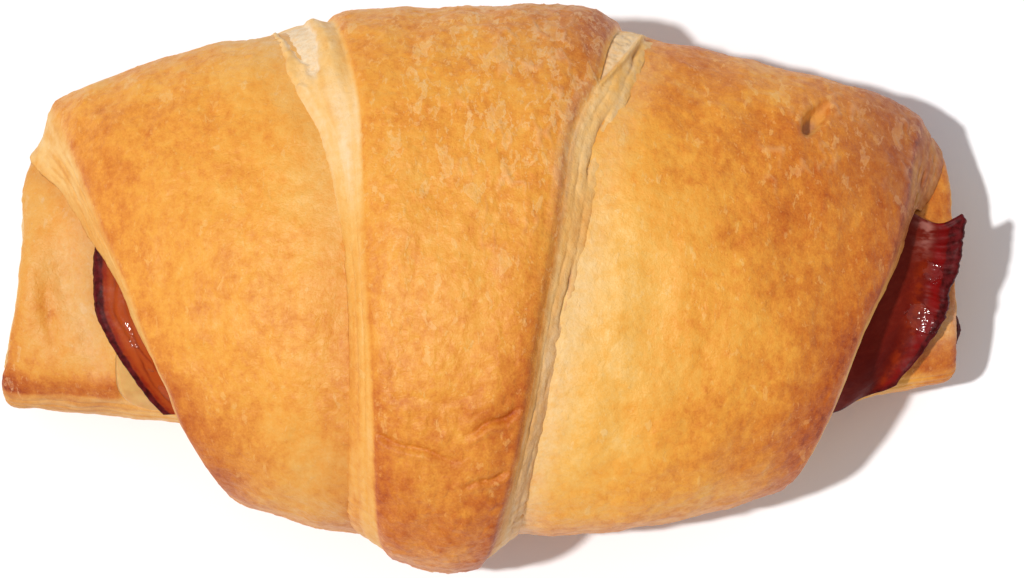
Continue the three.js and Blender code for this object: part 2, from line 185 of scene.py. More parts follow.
# Noise over points in millimetres. It repeats after this many cells, and the gain brings it to about -1 to 1.

NOISE_CELLS = 256
NOISE_GAIN = 1.6


def noise(points, size, seed):
    """Smooth gradient noise, about -1 to 1, with features of the given size."""
    rng = np.random.default_rng(seed)
    order = rng.permutation(NOISE_CELLS)
    ways = rng.normal(size=(NOISE_CELLS, 3))
    ways /= np.linalg.norm(ways, axis=1, keepdims=True)
    place = points / size + 100.0
    cell = np.floor(place).astype(int)
    inside = place - cell
    fade = inside ** 3 * (inside * (inside * 6 - 15) + 10)
    total = np.zeros(points.shape[:-1])
    last = NOISE_CELLS - 1
    for corner in np.ndindex(2, 2, 2):
        at = (cell + corner) & last
        hashed = order[(order[(order[at[..., 0]] + at[..., 1]) & last] + at[..., 2]) & last]
        pull = np.sum(ways[hashed] * (inside - corner), axis=-1)
        weight = np.prod(np.where(np.array(corner) == 1, fade, 1 - fade), axis=-1)
        total += weight * pull
    return total * NOISE_GAIN


def rough_noise(points, size, seed, octaves=3):
    return sum(noise(points, size / 2 ** k, seed + k) / 2 ** k for k in range(octaves))


def line_noise(values, size, seed):
    """Smooth noise along one number, such as a roll angle."""
    points = np.stack([values, np.full_like(values, 7.3 * seed), np.full_like(values, 2.1)], axis=-1)
    return noise(points / size, 1.0, seed)


# Relief of the crust and of the cut sides, in millimetres.

def bent(points, size, reach, seed):
    """Points pushed about by noise, so that what is drawn from them gets irregular outlines."""
    push = [noise(points, size, seed + k) for k in range(3)]
    return points + reach * np.stack(push, axis=-1)


def crust_relief(points, seed, flaky=1.0):
    """Swells, dimples and thin raised flakes of skin."""
    swells = 0.26 * noise(points, 11, seed) + 0.20 * noise(points, 4.6, seed + 1)
    pebbles = 0.07 * rough_noise(points, 2.1, seed + 2, 2)
    warped = bent(points, 2.0, 0.8, seed + 4)
    flakes = 0.11 * step(0.20, 0.30, noise(warped * [1, 0.8, 1], 3.2, seed + 7))
    flakes += 0.08 * step(0.26, 0.36, noise(warped, 1.7, seed + 8))
    return swells + pebbles + flaky * flakes


def worm_wrinkles(points, seed):
    """Short curved ridges that run round the roll, as where the skin has blistered."""
    warped = bent(points, 3.0, 1.1, seed)
    line = np.abs(noise(warped * [1.0, 0.40, 0.55], 2.6, seed + 3))
    patches = step(-0.05, 0.35, noise(points, 5.0, seed + 4))
    return step(0.17, 0.02, line) * patches


def grooves(share, roll, lines, seed):
    """Depth of the gaps between thin layers on a cut side, share 0 at its foot and 1 at its top edge.

    Each line has a share, how far it wanders, its depth in millimetres and its half-width as a share.
    """
    depth = np.zeros(np.broadcast(share, roll).shape)
    for k, (place, wander, deep, wide) in enumerate(lines):
        line = place + wander * (line_noise(roll, 24, seed + k) + 0.45 * line_noise(roll, 5, seed + 9 + k))
        strength = np.clip(0.6 + 1.3 * line_noise(roll, 11, seed + 20 + k), 0.0, 1.4)
        breadth = wide * (1 + 0.6 * line_noise(roll, 7, seed + 40 + k))
        depth = depth + deep * strength * np.exp(-np.abs(share - line) / breadth)
    return depth * step(0.0, 0.08, share) * step(0.0, 0.06, 1 - share)


# Tones of the crust: how brown it is at each point.

# In a ramp, places or angles that are passed everywhere, so that they don't limit it.
EVERYWHERE = (-1000, -999)


def toned(x, roll, base, ramps, spots):
    """A base tone with ramps and soft spots.

    A ramp has its amount, the places along the roll where it starts and is full, and the same round it.
    A spot has its amount, its middle and reach along the roll, and its middle and reach round it.
    """
    tone = base + 0 * x
    for amount, along, around in ramps:
        tone += amount * step(*along, x) * step(*around, roll)
    for amount, middle, reach, turn, spread in spots:
        tone += amount * bump(x - middle, reach) * bump(roll - turn, spread)
    return tone


def evenly_baked(values, share):
    """Brings the tones, and the painted shade and sheen, towards those of the underside, which bakes evenly
    on the tray.
    """
    for key, tone in (("brown", 0.52), ("dusk", 0.10), ("flaky", 0.12)):
        values[key] = mix(values[key], tone, share)


# Meshes.

def grid_normals(points, around=False):
    """Unit normals of a grid of points, turned away from the core's middle as a whole."""
    if around:
        along_rows = np.roll(points, -1, axis=1) - np.roll(points, 1, axis=1)
    else:
        along_rows = np.gradient(points, axis=1)
    normals = np.cross(np.gradient(points, axis=0), along_rows)
    normals /= np.maximum(np.linalg.norm(normals, axis=-1, keepdims=True), 1e-9)
    outward = points - core_centre(points[..., 0])
    return normals * np.sign(np.sum(normals * outward))


def make_piece(name, points, faces, values, material):
    """A piece from points in millimetres, faces and named values for each point."""
    points = (points.reshape(-1, 3) - BASE_MIDDLE) * MM
    mesh = bpy.data.meshes.new(name)
    mesh.from_pydata(points.tolist(), [], faces)
    for key, value in values.items():
        store = mesh.attributes.new(key, "FLOAT", "POINT")
        store.data.foreach_set("value", value.astype(np.float32).ravel())
    mesh.validate()
    mesh.shade_smooth()
    piece = bpy.data.objects.new(name, mesh)
    bpy.context.scene.collection.objects.link(piece)
    mesh.materials.append(material)
    return piece


def face_outward(mesh):
    """Turns the faces outwards, by the sign of the mesh's volume."""
    mesh.calc_loop_triangles()
    corners = np.empty(len(mesh.loop_triangles) * 3, np.int32)
    mesh.loop_triangles.foreach_get("vertices", corners)
    places = np.empty(len(mesh.vertices) * 3)
    mesh.vertices.foreach_get("co", places)
    a, b, c = places.reshape(-1, 3)[corners.reshape(-1, 3)].transpose(1, 0, 2)
    if np.sum(a * np.cross(b, c)) < 0:
        mesh.flip_normals()


def tube_piece(name, rings, values, material):
    """A piece from closed rings of points, shut by a polygon at each end."""
    rows, width = rings.shape[:2]
    i, j = np.meshgrid(np.arange(rows - 1), np.arange(width), indexing="ij")
    a = i * width + j
    b = i * width + (j + 1) % width
    walls = np.stack([a, a + width, b + width, b], axis=-1).reshape(-1, 4)
    count = rows * width
    ends = [list(range(width)), list(range(count - 1, count - width - 1, -1))]
    piece = make_piece(name, rings, walls.tolist() + ends, values, material)
    face_outward(piece.data)
    return piece


# The core roll.

END_ROUNDING = 3.2
LEFT_HUB = -73.0
RIGHT_HUB = 73.0
CORE_ROUNDS = 300
# The core is out of sight between these places, and gets only a few rings there.
HIDDEN_FROM = -42
HIDDEN_TO = 45
HIDDEN_RINGS = np.linspace(-38, 42, 9)
# Where the rings of crust lie, as shares of the way to the hidden stretch or from it to the right end.
LEFT_SHARES = np.linspace(0, 1, 58)
RIGHT_SHARES = np.linspace(0, 1, 52)

# How strong the core's relief is, and the least height of its underside, which lies inside the wide wrap.
CORE_RELIEF = 0.9
CORE_FLOOR = 0.9

# How far the rings of an end face are drawn in to its hub.
FACE_PULLS = np.linspace(0.985, 0.075, 58)
# The rings over an end's rounded edge: how far along the rounding each lies, and how far it is drawn in.
EDGE_RINGS = [(0.06, 0.06), (0.15, 0.035), (0.28, 0.02), (0.45, 0.01), (0.7, 0.003)]

core_left_end = curve_through(
    (-180, -75.8), (-90, -73.5), (0, -70.8), (20, -71.2), (46, -72.6), (76, -72), (102, -72.8), (118, -74),
    (138, -75.3), (152, -76.1), (180, -75.8))
core_right_end = curve_through(
    (-180, 74), (-90, 72.8), (0, 71.6), (20, 72.8), (60, 73.6), (111, 74.1), (138, 74.3), (162, 74.4),
    (180, 74))
valley_line = curve_through((70, -63.5), (90, -64), (104, -63.7), (120, -61.5), (135, -59.5))

# Browner at the left end's rim and towards both ends, paler beside the ham; by the ham's rim at the right end
# the paler spot is partly the dough's own tone and partly painted light against the ham's shadow.
CORE_RAMPS = [
    (0.18, (-70.5, -75), (100, 130)),
    (0.10, (-50, -60), (88, 108)),
    (0.35, (60, 70), EVERYWHERE),
    (-0.3, (58, 66), (150, 160)),
    (0.2, (45, 58), (138, 156)),
]
CORE_SPOTS = [(-0.16, -62, 6, 112, 18), (-0.22, 70.8, 2.6, 122, 14)]

# The rolled-up sheet seen on an end: its layers lie this far apart, and it is wider than high by this factor.
COIL_PITCH = 5.2
COIL_FLATNESS = 1.5
PLIES = 5

# The ham inside the core: where it starts behind the core's middle, and its width.
INNER_HAM_BACK = 7
INNER_HAM_WIDTH = 20


def core_dent(x, roll):
    return -1.7 * bump(x + 65.5, 4) * bump(roll - 104, 26)


def core_crease(x, roll, reach):
    """1 along a short crease on top of the left end."""
    return bump(x + 68.2 - 0.05 * (roll - 110), reach) * bump(roll - 112, 14)


def coil_of(points, hub, seed):
    """How many layers out from the hub a point on an end face lies."""
    arm = points - core_centre(hub)
    turn = np.arctan2(arm[..., 2] * COIL_FLATNESS, arm[..., 1]) / (2 * math.pi)
    reach = np.hypot(arm[..., 1], arm[..., 2] * COIL_FLATNESS)
    return reach / COIL_PITCH + turn + 0.22 * noise(points, 6, seed)


def line_in(phase):
    """0 on the lines between layers and 1 halfway between them."""
    return np.abs((phase % 1.0) - 0.5) * 2


def ham_arch(x, across):
    """Height over the core's middle of the ham that is rolled up inside it."""
    return 0.6 + 2.2 * (1 - ((across - 0.5) * 2) ** 2) + 0.5 * np.sin(x / 9)


def ham_slot(points):
    """1 where an end of the core opens for the ham inside it."""
    arm = points - core_centre(points[..., 0])
    across = (INNER_HAM_BACK - arm[..., 1]) / INNER_HAM_WIDTH
    height = arm[..., 2] - ham_arch(points[..., 0], across)
    ends = step(-0.04, 0.02, across) * step(1.04, 0.98, across)
    return ends * step(1.6, 0.8, np.abs(height) + 0.3 * noise(points, 2.5, 19))


def core_rings(roll):
    """The core's rings from the left hub to the right one, and how much crust each ring has."""
    left, right = core_left_end(roll), core_right_end(roll)
    left_skin, right_skin = left + END_ROUNDING, right - END_ROUNDING
    rings = [(left, pull, LEFT_HUB, 0) for pull in FACE_PULLS]
    rings += [(left + along * END_ROUNDING, pull, LEFT_HUB, 0.5) for along, pull in EDGE_RINGS]
    rings += [(mix(left_skin, HIDDEN_FROM, share), 0, LEFT_HUB, 1) for share in LEFT_SHARES]
    rings += [(x + 0 * roll, 0, LEFT_HUB, 0) for x in HIDDEN_RINGS]
    rings += [(mix(HIDDEN_TO, right_skin, share), 0, RIGHT_HUB, 1) for share in RIGHT_SHARES]
    rings += [(right - along * END_ROUNDING, pull, RIGHT_HUB, 0.5) for along, pull in EDGE_RINGS[::-1]]
    rings += [(right, pull, RIGHT_HUB, 0) for pull in FACE_PULLS[::-1]]
    points = []
    for x, pull, hub, _ in rings:
        skin = skin_point(x, roll, 0.0, swell(x, roll, 0.3) + core_dent(x, roll))
        points.append(mix(skin, core_centre(hub), pull))
    return np.array(points), np.array([ring[3] for ring in rings])[:, None]


def end_faces(points, crusted):
    """What shows on the core's two end faces: the coil's lines, its plies and the slot for the ham."""
    x = points[..., 0]
    here = (crusted < 0.4) & (np.abs(x) > 60)
    phase = np.where(x < 0, coil_of(points, LEFT_HUB, 11), coil_of(points, RIGHT_HUB, 12))
    return {
        "here": here,
        "coil": line_in(phase),
        "ply": line_in(phase * PLIES),
        "slot": ham_slot(points) * here,
        "open": np.clip(0.7 + 1.1 * noise(points, 9, 43), 0.1, 1.3),
    }


def in_valley(x, roll):
    """The shallow valley beside the ham at the left end."""
    return bump(x - valley_line(roll), 2.8) * step(66, 88, roll) * step(148, 136, roll)


def core_relief(points, roll, crusted, ends):
    x = points[..., 0]
    layered = -0.55 * ends["open"] * np.exp(-ends["coil"] / 0.2) - 0.2 * np.exp(-ends["ply"] / 0.25)
    layered += 0.2 * rough_noise(points, 2.6, 29) - 3.4 * ends["slot"]
    relief = crust_relief(points, 31, 0.6) * crusted + layered * ends["here"]
    # The valley is crumpled where it meets the ham.
    crumpled = bump(x - valley_line(roll), 4.5) * step(70, 96, roll) * step(150, 138, roll)
    relief += 0.32 * crumpled * rough_noise(bent(points, 3, 1, 61), 2.4, 62, 2)
    relief += 0.5 * bump(x + 71.5, 3) * bump(roll - 95, 30) - 0.5 * core_crease(x, roll, 0.9)
    relief -= 0.9 * in_valley(x, roll)
    # A flap of crust that ends just short of the cheese, and the layers of the left end's front side.
    flap = step(-56.6, -57.3, x) * step(-62, -58, x) * step(124, 132, roll) * step(162, 154, roll)
    down = np.abs(roll)
    layers = bump((down - 166 + 0.15 * noise(points, 6, 5)) % 7 - 3.5, 1.0) * step(158, 162, down)
    return CORE_RELIEF * (relief + 0.55 * flap - 0.25 * layers)


def core_values(points, x, roll, ends):
    """The core's tones, x being each point's place along the roll before its relief."""
    here = ends["here"]
    front_side = step(153, 159, roll) * step(-44, -48, x)
    # Brown edges low at the front of both ends.
    brown = toned(x, roll, 0.28, CORE_RAMPS, CORE_SPOTS) + 0.16 * front_side + 0.25 * bump(roll + 90, 60)
    brown += 0.36 * step(134, 150, roll) * step(157, 153, roll) * step(-56.4, -57.4, x)
    # Browner along the left end's crease: painted shade in its fold.
    brown += 0.11 * bump(roll - 141, 8) * step(60, 68, x) + 0.12 * core_crease(x, roll, 1.3)
    brown += (0.5 * noise(points, 7, 41) - 0.22) * here
    # Painted shade where the wrap and the ham rest on the left end.
    resting = np.minimum(wide_left_foot(roll), ham_left(np.clip((roll - 84) / 64, 0, 1)))
    contact_shade = bump(x - resting + 0.4, 1.5) * step(20, 50, roll) * step(140, 118, roll)
    gap = 0.75 * ends["open"] * step(0.4, 0.0, ends["coil"]) + 0.45 * step(0.3, 0.1, ends["ply"])
    values = {
        "brown": brown,
        "cut": np.clip(here + 0.7 * front_side, 0, 1),
        "gap": (gap + ends["slot"]) * here,
        "along": np.where(here, 3 * points[..., 1], x),
        "side": np.where(here, 2 * ends["ply"], 0.9 * points[..., 2]),
        # At the right end, the flour by the ham's rim is partly painted light against the ham's shadow.
        "flour": 0.14 * in_valley(x, roll) + 0.35 * step(66, 70, x) * bump(roll - 122, 14) * ~here,
        # Painted shade: over the left end, more where the wrap and the ham rest on it, and over the right
        # end.
        "dusk": 0.28 * step(-50, -62, x) * (1 - 0.6 * here) + 0.20 * contact_shade + 0.1 * step(60, 70, x),
        "flaky": 0.12 + 0.6 * step(-70, -74, x) * step(104, 122, roll),
    }
    evenly_baked(values, step(-178, -150, roll) * step(-16, -46, roll) * ~here)
    return values


def core_piece(material):
    roll = np.linspace(-180, 180, CORE_ROUNDS, endpoint=False)
    points, crusted = core_rings(roll)
    x = points[..., 0]
    roll = np.broadcast_to(roll, x.shape)
    ends = end_faces(points, crusted)
    relief = core_relief(points, roll, crusted, ends)
    points = points + grid_normals(points, around=True) * relief[..., None]
    points[..., 2] = np.maximum(points[..., 2], CORE_FLOOR)
    return tube_piece("core_roll", points, core_values(points, x, roll, ends), material)


# The ham's outline, which the core and the bands make room for.

HAM_LIFT = 0.6
HAM_THICK = 2.2
ham_left = curve_through(
    (0, -60.5), (0.13, -60.8), (0.31, -60.5), (0.38, -60.1), (0.47, -59.1), (0.58, -57.2), (0.7, -55.1),
    (0.84, -52.7), (0.94, -51), (1, -50))
ham_right = curve_through(
    (0, 75.1), (0.05, 75.5), (0.11, 75.3), (0.18, 75.1), (0.28, 74.6), (0.35, 74.0), (0.43, 73.3),
    (0.56, 72.6), (0.64, 72.2), (0.74, 71.2), (0.8, 70.2), (0.85, 69.2), (0.9, 68.0), (0.95, 66.4), (1, 64.4))
ham_back_roll = curve_through(
    (-61, 84.5), (-40, 82), (46, 66), (60, 67), (64, 70.5), (67, 73), (70.4, 75.4), (72, 76), (73.7, 75),
    (75.5, 73.4))
ham_front_roll = curve_through(
    (-61, 150), (-50, 154.5), (-40, 157), (46, 172), (52, 171), (56, 169), (58.6, 166.5), (61.3, 161),
    (63.3, 154), (66, 145), (70, 137.5), (76, 134.5))


def over_ham(x, roll):
    """1 where the ham lies between the core and the wide wrap, fading out past its edges."""
    back, front = ham_back_roll(x), ham_front_roll(x)
    return step(back - 7, back + 2, roll) * step(front + 7, front - 2, roll)


# The edges of the bands round the core, by roll angle.

wide_left_foot = curve_through(
    (-180, -72.4), (-90, -72), (-20, -70.9), (10, -71), (27, -71.6), (43, -69.5), (56, -66.2), (66, -64.3),
    (75, -62.4), (83, -61), (97, -56.9), (112, -54), (133, -49.5), (154, -45.7), (170, -42.8), (190, -41.4))
wide_left_top = curve_through(
    (-180, -72), (-90, -71), (-20, -69.4), (8, -68.8), (24, -68), (38, -66.4), (54, -64.4), (77, -60.4),
    (97, -56.1), (112, -53.1), (122, -51), (133, -48.5), (141, -47.3), (154, -44.6), (170, -41.8),
    (190, -40.4))
wide_right_top = curve_through(
    (-180, 70.6), (-90, 70.2), (-20, 69.8), (0, 69.9), (24, 69.3), (56, 67.2), (72, 66.2), (82, 65),
    (93, 63.7), (102, 61.9), (110, 60), (120, 57.9), (137, 54.9), (157, 51.6), (181, 48.2), (190, 46.4))
wide_right_foot = curve_through(
    (-180, 71), (-90, 71.8), (-20, 72.2), (10, 72.4), (36, 72.2), (56, 70.6), (68, 68.6), (80, 66.4),
    (93, 64.6), (110, 61), (127, 57.4), (146, 54), (162, 51.6), (190, 47.2))
tip_left_foot = curve_through(
    (-180, -40.8), (-90, -38.4), (-20, -35), (7, -33.2), (27, -31.3), (40, -29.8), (49, -28.4), (59, -25.4),
    (69, -23.6), (79, -22.3), (90, -21.1), (106, -20.5), (143, -20.7), (168, -20.8), (182, -19.6),
    (194, -16.4), (206, -10))
tip_left_top = curve_through(
    (-180, -40), (-90, -35.4), (-20, -27.6), (3, -24.8), (37, -21.2), (51, -19.6), (62, -19), (84, -18.4),
    (104, -17.7), (126, -17.1), (140, -17), (163, -16.6), (186, -15.2), (196, -12.8), (206, -8))
tip_right_top = curve_through(
    (-180, 45.6), (-90, 35), (-20, 24.5), (10, 21), (29, 19.2), (47, 17.3), (55, 14.9), (64, 13.2),
    (75, 12.2), (90, 10.5), (108, 8.3), (130, 5.9), (153, 3), (180, 0.6), (194, -1.6), (206, -5.6))
tip_right_foot = curve_through(
    (-180, 46.6), (-90, 37), (-20, 30), (10, 27.4), (27, 25.3), (42, 23.3), (55, 20.6), (65, 18.5),
    (83, 16.1), (94, 14.6), (108, 12.1), (133, 8.8), (149, 7), (173, 5.7), (182, 5.2), (194, 1.6), (206, -4))

# The wide wrap is made in two halves that meet out of sight under the tip band.
half_way = steady(-8.0)


# The form of a band.

# Where the points of the rounded edge lie, in from the top of the cut side, and where the level top starts.
SHOULDER = np.array([0.3, 0.7, 1.2, 1.8])
SHOULDER_END = 2.2
# The edge is rounded over this reach, and the whole top falls off by the crown over a longer one.
EDGE_REACH = 0.62
CROWN = 0.55
CROWN_REACH = 3.2
SIDE_BULGE = 0.2
# The underside of a band: the points that close it, how far it sags, and how much deeper its start lies.
CLOSING_POINTS = 12
UNDERSIDE_SAG = 0.4
UNDERSIDE_BURIAL = 1.4
# How deep a band's inside sinks into the layer below, and the room it leaves over the ham.
WIDE_SINK = 0.4
TIP_SINK = 0.3
ROOM_OVER_HAM = 0.35


def climb(roll):
    """The level of the wide wrap as the sheet passes under and climbs over its own start."""
    return mix(-0.2, 1.0, smooth((roll + 180) / 175))


def tip_level(roll):
    return 1 + climb(roll) - 0.9 * smooth((roll - 186) / 24)


def buried(roll):
    """How much deeper the start of a band lies in the layer below, so that no dimple there bares it."""
    return 1.3 * step(-134, -160, roll)


def crown(edge):
    """How far the top of a band falls off towards its edge."""
    return -CROWN * bump(edge, CROWN_REACH)


def band_grid(band):
    """Where each point of a band lies: up its left cut side, across its top and down its right cut side."""
    roll = band["rolls"][:, None]
    under, level = band["under"](roll), band["level"](roll)
    full = np.clip(level - under, 0, 1)
    ragged = 0.24 * line_noise(roll, 4.3, 3) + 0.2 * line_noise(roll, 1.9, 4)
    ragged += 0.12 * line_noise(roll, 0.9, 5)
    ragged *= np.clip(0.7 + 1.4 * line_noise(roll, 14, 6), 0.1, 1.7)
    feet = [band["feet"][k](roll) + band["ragged"][k] * ragged for k in range(2)]
    tops = [band["tops"][k](roll) for k in range(2)]

    def side(k, way):
        share = np.linspace(0, 1, band["side_steps"][k])
        x = mix(feet[k], tops[k], share) + way * SIDE_BULGE * np.sin(math.pi * share)
        lift = mix(band["foot_lift"](feet[k], roll), -(band["drop"][k] + CROWN) * full, share)
        return x, mix(under, level, share ** band["rise"][k](roll)), lift, share, 0, k

    def shoulder(k, way):
        fall = crown(SHOULDER) - band["drop"][k] * bump(SHOULDER, EDGE_REACH)
        return tops[k] + way * SHOULDER, level, full * fall, 1, smooth(SHOULDER / SHOULDER[-1]), k

    middle = mix(tops[0] + SHOULDER_END, tops[1] - SHOULDER_END, band["across"])
    edge = np.minimum(middle - tops[0], tops[1] - middle)
    stretches = [side(0, 1), shoulder(0, 1), (middle, level, full * crown(edge), 1, 1, 0),
                 shoulder(1, -1), side(1, -1)]
    columns = [np.stack(np.broadcast_arrays(*stretch)) for stretch in stretches]
    columns[3:] = [stretch[..., ::-1] for stretch in columns[3:]]
    x, levels, lifts, share, on_top, right = np.concatenate(columns, axis=2)
    roll = np.broadcast_to(roll, x.shape)
    lifts = lifts + on_top * swell(x, roll, band["seed"]) - buried(roll)
    points = skin_point(x, roll, levels, lifts)
    return {"points": points, "x": x, "roll": roll, "share": share, "on_top": on_top, "right": right}


def band_piece(band, material):
    grid = band_grid(band)
    relief, values = band["relief"](grid)
    points = grid["points"] + grid_normals(grid["points"]) * relief[..., None]
    values.update(band["tones"](grid))
    underneath = step(-16, -46, grid["roll"]) + band["tucked"] * step(170, 189, grid["roll"])
    evenly_baked(values, underneath * grid["on_top"])
    values["cut"] = values["cut"] * mix(1.0, 0.5, step(-30, -80, grid["roll"]))

    # Underneath, the ring closes along the layer below.
    roll = grid["roll"][:, :1]
    back = np.linspace(1, 0, CLOSING_POINTS + 2)[1:-1]
    x = mix(grid["x"][:, :1], grid["x"][:, -1:], back)
    lift = band["foot_lift"](x, roll) - UNDERSIDE_SAG * np.sin(math.pi * back)
    lift = lift - UNDERSIDE_BURIAL * buried(roll)
    below = skin_point(x, roll, band["under"](roll), lift)
    for part, least in zip((points, below), band["floor"]):
        part[..., 2] = np.maximum(part[..., 2], least)
    room = ((0, 0), (0, len(back)))
    values = {key: np.pad(value, room, mode="edge") for key, value in values.items()}
    return tube_piece(band["name"], np.concatenate([points, below], axis=1), values, material)


def wide_foot_lift(x, roll):
    return mix(-WIDE_SINK, HAM_LIFT + HAM_THICK + ROOM_OVER_HAM, over_ham(x, roll))


def tip_foot_lift(x, roll):
    return -TIP_SINK + 0 * x


# The finish of each band: its relief, and the tones of its crust and cut sides.

# Layers on the cut sides: share, wander, depth, half-width.
LEFT_END_LAYERS = [
    (0.22, 0.05, 0.30, 0.04), (0.40, 0.05, 0.36, 0.03), (0.60, 0.05, 0.24, 0.04), (0.78, 0.05, 0.36, 0.03)]
RIGHT_END_LAYERS = [
    (0.18, 0.04, 0.34, 0.04), (0.36, 0.05, 0.24, 0.03), (0.56, 0.05, 0.40, 0.04), (0.80, 0.04, 0.30, 0.03)]
TIP_LEFT_LAYERS = [(0.36, 0.06, 0.26, 0.10), (0.72, 0.06, 0.14, 0.06)]
TIP_RIGHT_LAYERS = [(0.24, 0.10, 0.55, 0.06), (0.60, 0.12, 0.30, 0.06)]


def baked_skin(grid):
    """0 on the cut sides and 1 on the crust, with a crisp line between them."""
    return step(0.02, 0.16, grid["on_top"])


# The depth at which a gap is at its darkest, and the millimetres of streaks for a degree and up a whole side.
FULL_GAP = 0.5
STREAKS_ROUND = 0.75
STREAKS_UP = 4


def side_values(grid, depth, **extra):
    """What a band's material needs to know about its cut sides."""
    cut = 1 - baked_skin(grid)
    gap = np.clip(depth / FULL_GAP, 0, 1) * cut
    along, side = grid["roll"] * STREAKS_ROUND, grid["share"] * STREAKS_UP
    return {"cut": cut, "gap": gap, "along": along, "side": side, **extra}


def parts_of(grid):
    return [grid[key] for key in ("points", "x", "roll", "share", "on_top")]


def left_wrap_relief(grid):
    points, _, roll, share, on_top = parts_of(grid)
    depth = grooves(share, roll, LEFT_END_LAYERS, 5) * mix(1.0, 0.7, step(84, 60, roll))
    cut = 0.07 * rough_noise(points, 2.6, 8, 2) - depth
    values = side_values(grid, depth)
    values["cut"] = values["cut"] * mix(1.0, 0.7, step(50, 80, roll))
    return mix(cut, crust_relief(points, 3, 0.75), on_top), values


LEFT_WRAP_RAMPS = [
    (0.05, (-30, -20), (95, 125)),
    (0.18, (-24, -46), EVERYWHERE),
    (0.08, (-50, -62), EVERYWHERE),
    (0.12, (-26, -38), (112, 150)),
    (0.10, EVERYWHERE, (158, 186)),
    (0.04, EVERYWHERE, (20, -10)),
    (0.04, EVERYWHERE, (80, 50)),
    (-0.06, EVERYWHERE, (60, 34)),
]
LEFT_WRAP_SPOTS = [
    (0.14, -31, 9, 56, 22),
    (0.12, -30, 8, 112, 22),
    (-0.14, -62, 6, 20, 24),
    (0.07, -52, 8, 50, 12),
]


def left_wrap_tones(grid):
    x, roll = grid["x"], grid["roll"]
    from_tip, from_end = x - tip_left_foot(roll), x - wide_left_top(roll)
    brown = toned(x, roll, 0.25, LEFT_WRAP_RAMPS, LEFT_WRAP_SPOTS)
    brown += 0.07 * bump(from_end, 8) * step(34, 60, roll) + 0.12 * bump(from_end, 6) * step(112, 138, roll)
    brown -= 0.14 * bump(from_tip, 11) * step(88, 62, roll)
    brown += 0.12 * bump(from_tip, 7) * step(66, 96, roll) * grid["on_top"]
    return {
        "brown": mix(0.12 + 0.55 * brown, brown, baked_skin(grid)),
        "flaky": 0.12 + 0.20 * step(70, 30, roll),
        # Painted shade: a little all over, more low at the front and beside the tip band's foot.
        "dusk": 0.05 + 0.18 * step(112, 150, roll) + 0.20 * bump(from_tip, 5),
    }


def pit_depth(x, roll):
    """The small open blister towards the right end of the wide wrap."""
    dx, dr = x - 51.5, (roll - 44) * 0.48
    along = dx * 0.44 - dr * 0.90
    across = dx * 0.90 + dr * 0.44
    wide = 1.35 + 0.55 * step(3, -3, along)
    reach = np.hypot(along / 5.2, across / wide)
    deep = 2.8 - 1.2 * step(-3, 2.5, along)
    return deep * step(1.02, 0.35, reach) - 0.14 * bump(reach - 1.25, 0.25)


def right_wrap_relief(grid):
    points, x, roll, share, on_top = parts_of(grid)
    pit = pit_depth(x, roll)
    worms = step(36, 46, x) * step(84, 66, roll) * step(10, 24, roll) * worm_wrinkles(points, 23)
    crust = crust_relief(points, 13, 0.75) + 0.24 * worms - pit
    depth = grooves(share, roll, RIGHT_END_LAYERS, 15)
    cut = 0.07 * rough_noise(points, 2.6, 18, 2) - depth
    fringe = bump(x - tip_right_foot(roll) - 0.6, 2.6) * step(24, 34, roll)
    fringe *= 0.16 + 0.20 * step(70, 100, roll)
    # Painted purple-grey sheen on top over the right end at the back, and painted shade in the bottom of the
    # pit.
    dusk = 0.56 * step(51, 66, x) * step(92, 62, roll) * on_top + 0.8 * step(1.7, 2.3, pit)
    values = side_values(grid, depth, flour=fringe * on_top, raised=worms, dusk=dusk)
    values["cut"] = np.maximum(values["cut"], 0.85 * step(0.4, 0.9, pit))
    values["cut"] *= mix(1.0, 0.62, (1 - on_top) * step(96, 78, roll))
    return mix(cut, crust, on_top), values


RIGHT_WRAP_RAMPS = [
    (0.09, (38, 54), EVERYWHERE),
    (0.12, (56, 64), EVERYWHERE),
    (0.08, EVERYWHERE, (160, 186)),
    (0.08, EVERYWHERE, (20, -10)),
]
RIGHT_WRAP_SPOTS = [
    (-0.40, 15, 13, 97, 30),
    (-0.22, 11, 13, 135, 22),
    (0.08, 58, 9, 48, 30),
    (0.15, 44, 7, 62, 22),
    (0.09, 56, 8, 92, 20),
    (0.07, 42, 6, 82, 14),
    (-0.10, 35, 12, 50, 16),
]


def right_wrap_tones(grid):
    x, roll, on_top = grid["x"], grid["roll"], grid["on_top"]
    brown = toned(x, roll, 0.45, RIGHT_WRAP_RAMPS, RIGHT_WRAP_SPOTS)
    brown += 0.34 * (1 - on_top) * step(60, 66, x) + 0.12 * bump(roll - 140, 16) * step(20, 40, x)
    brown += 0.20 * step(76, 52, roll) * step(46, 34, x) * step(20, 34, x)
    brown += 0.30 * bump(wide_right_top(roll) - x, 7) * step(92, 118, roll) * on_top
    flaky = 0.12 + 0.10 * step(110, 90, roll) + 0.18 * step(30, 46, x) * step(90, 50, roll)
    return {"brown": brown, "flaky": flaky}


# Creases in the tip band: roll and place of both ends, depth and half-width in millimetres.
TIP_CREASES = [
    ((128.0, -17.0), (131.5, -4.0), 1.1, 0.7),
    ((124.6, -1.5), (120.6, 6.2), 1.3, 0.6),
    ((138.4, -2.0), (136.6, 5.0), 0.9, 0.6),
    ((118.6, -13.0), (117.2, -2.0), 0.30, 0.8),
]
# Millimetres round the tip band for each degree.
ROUND_SCALE = 0.86


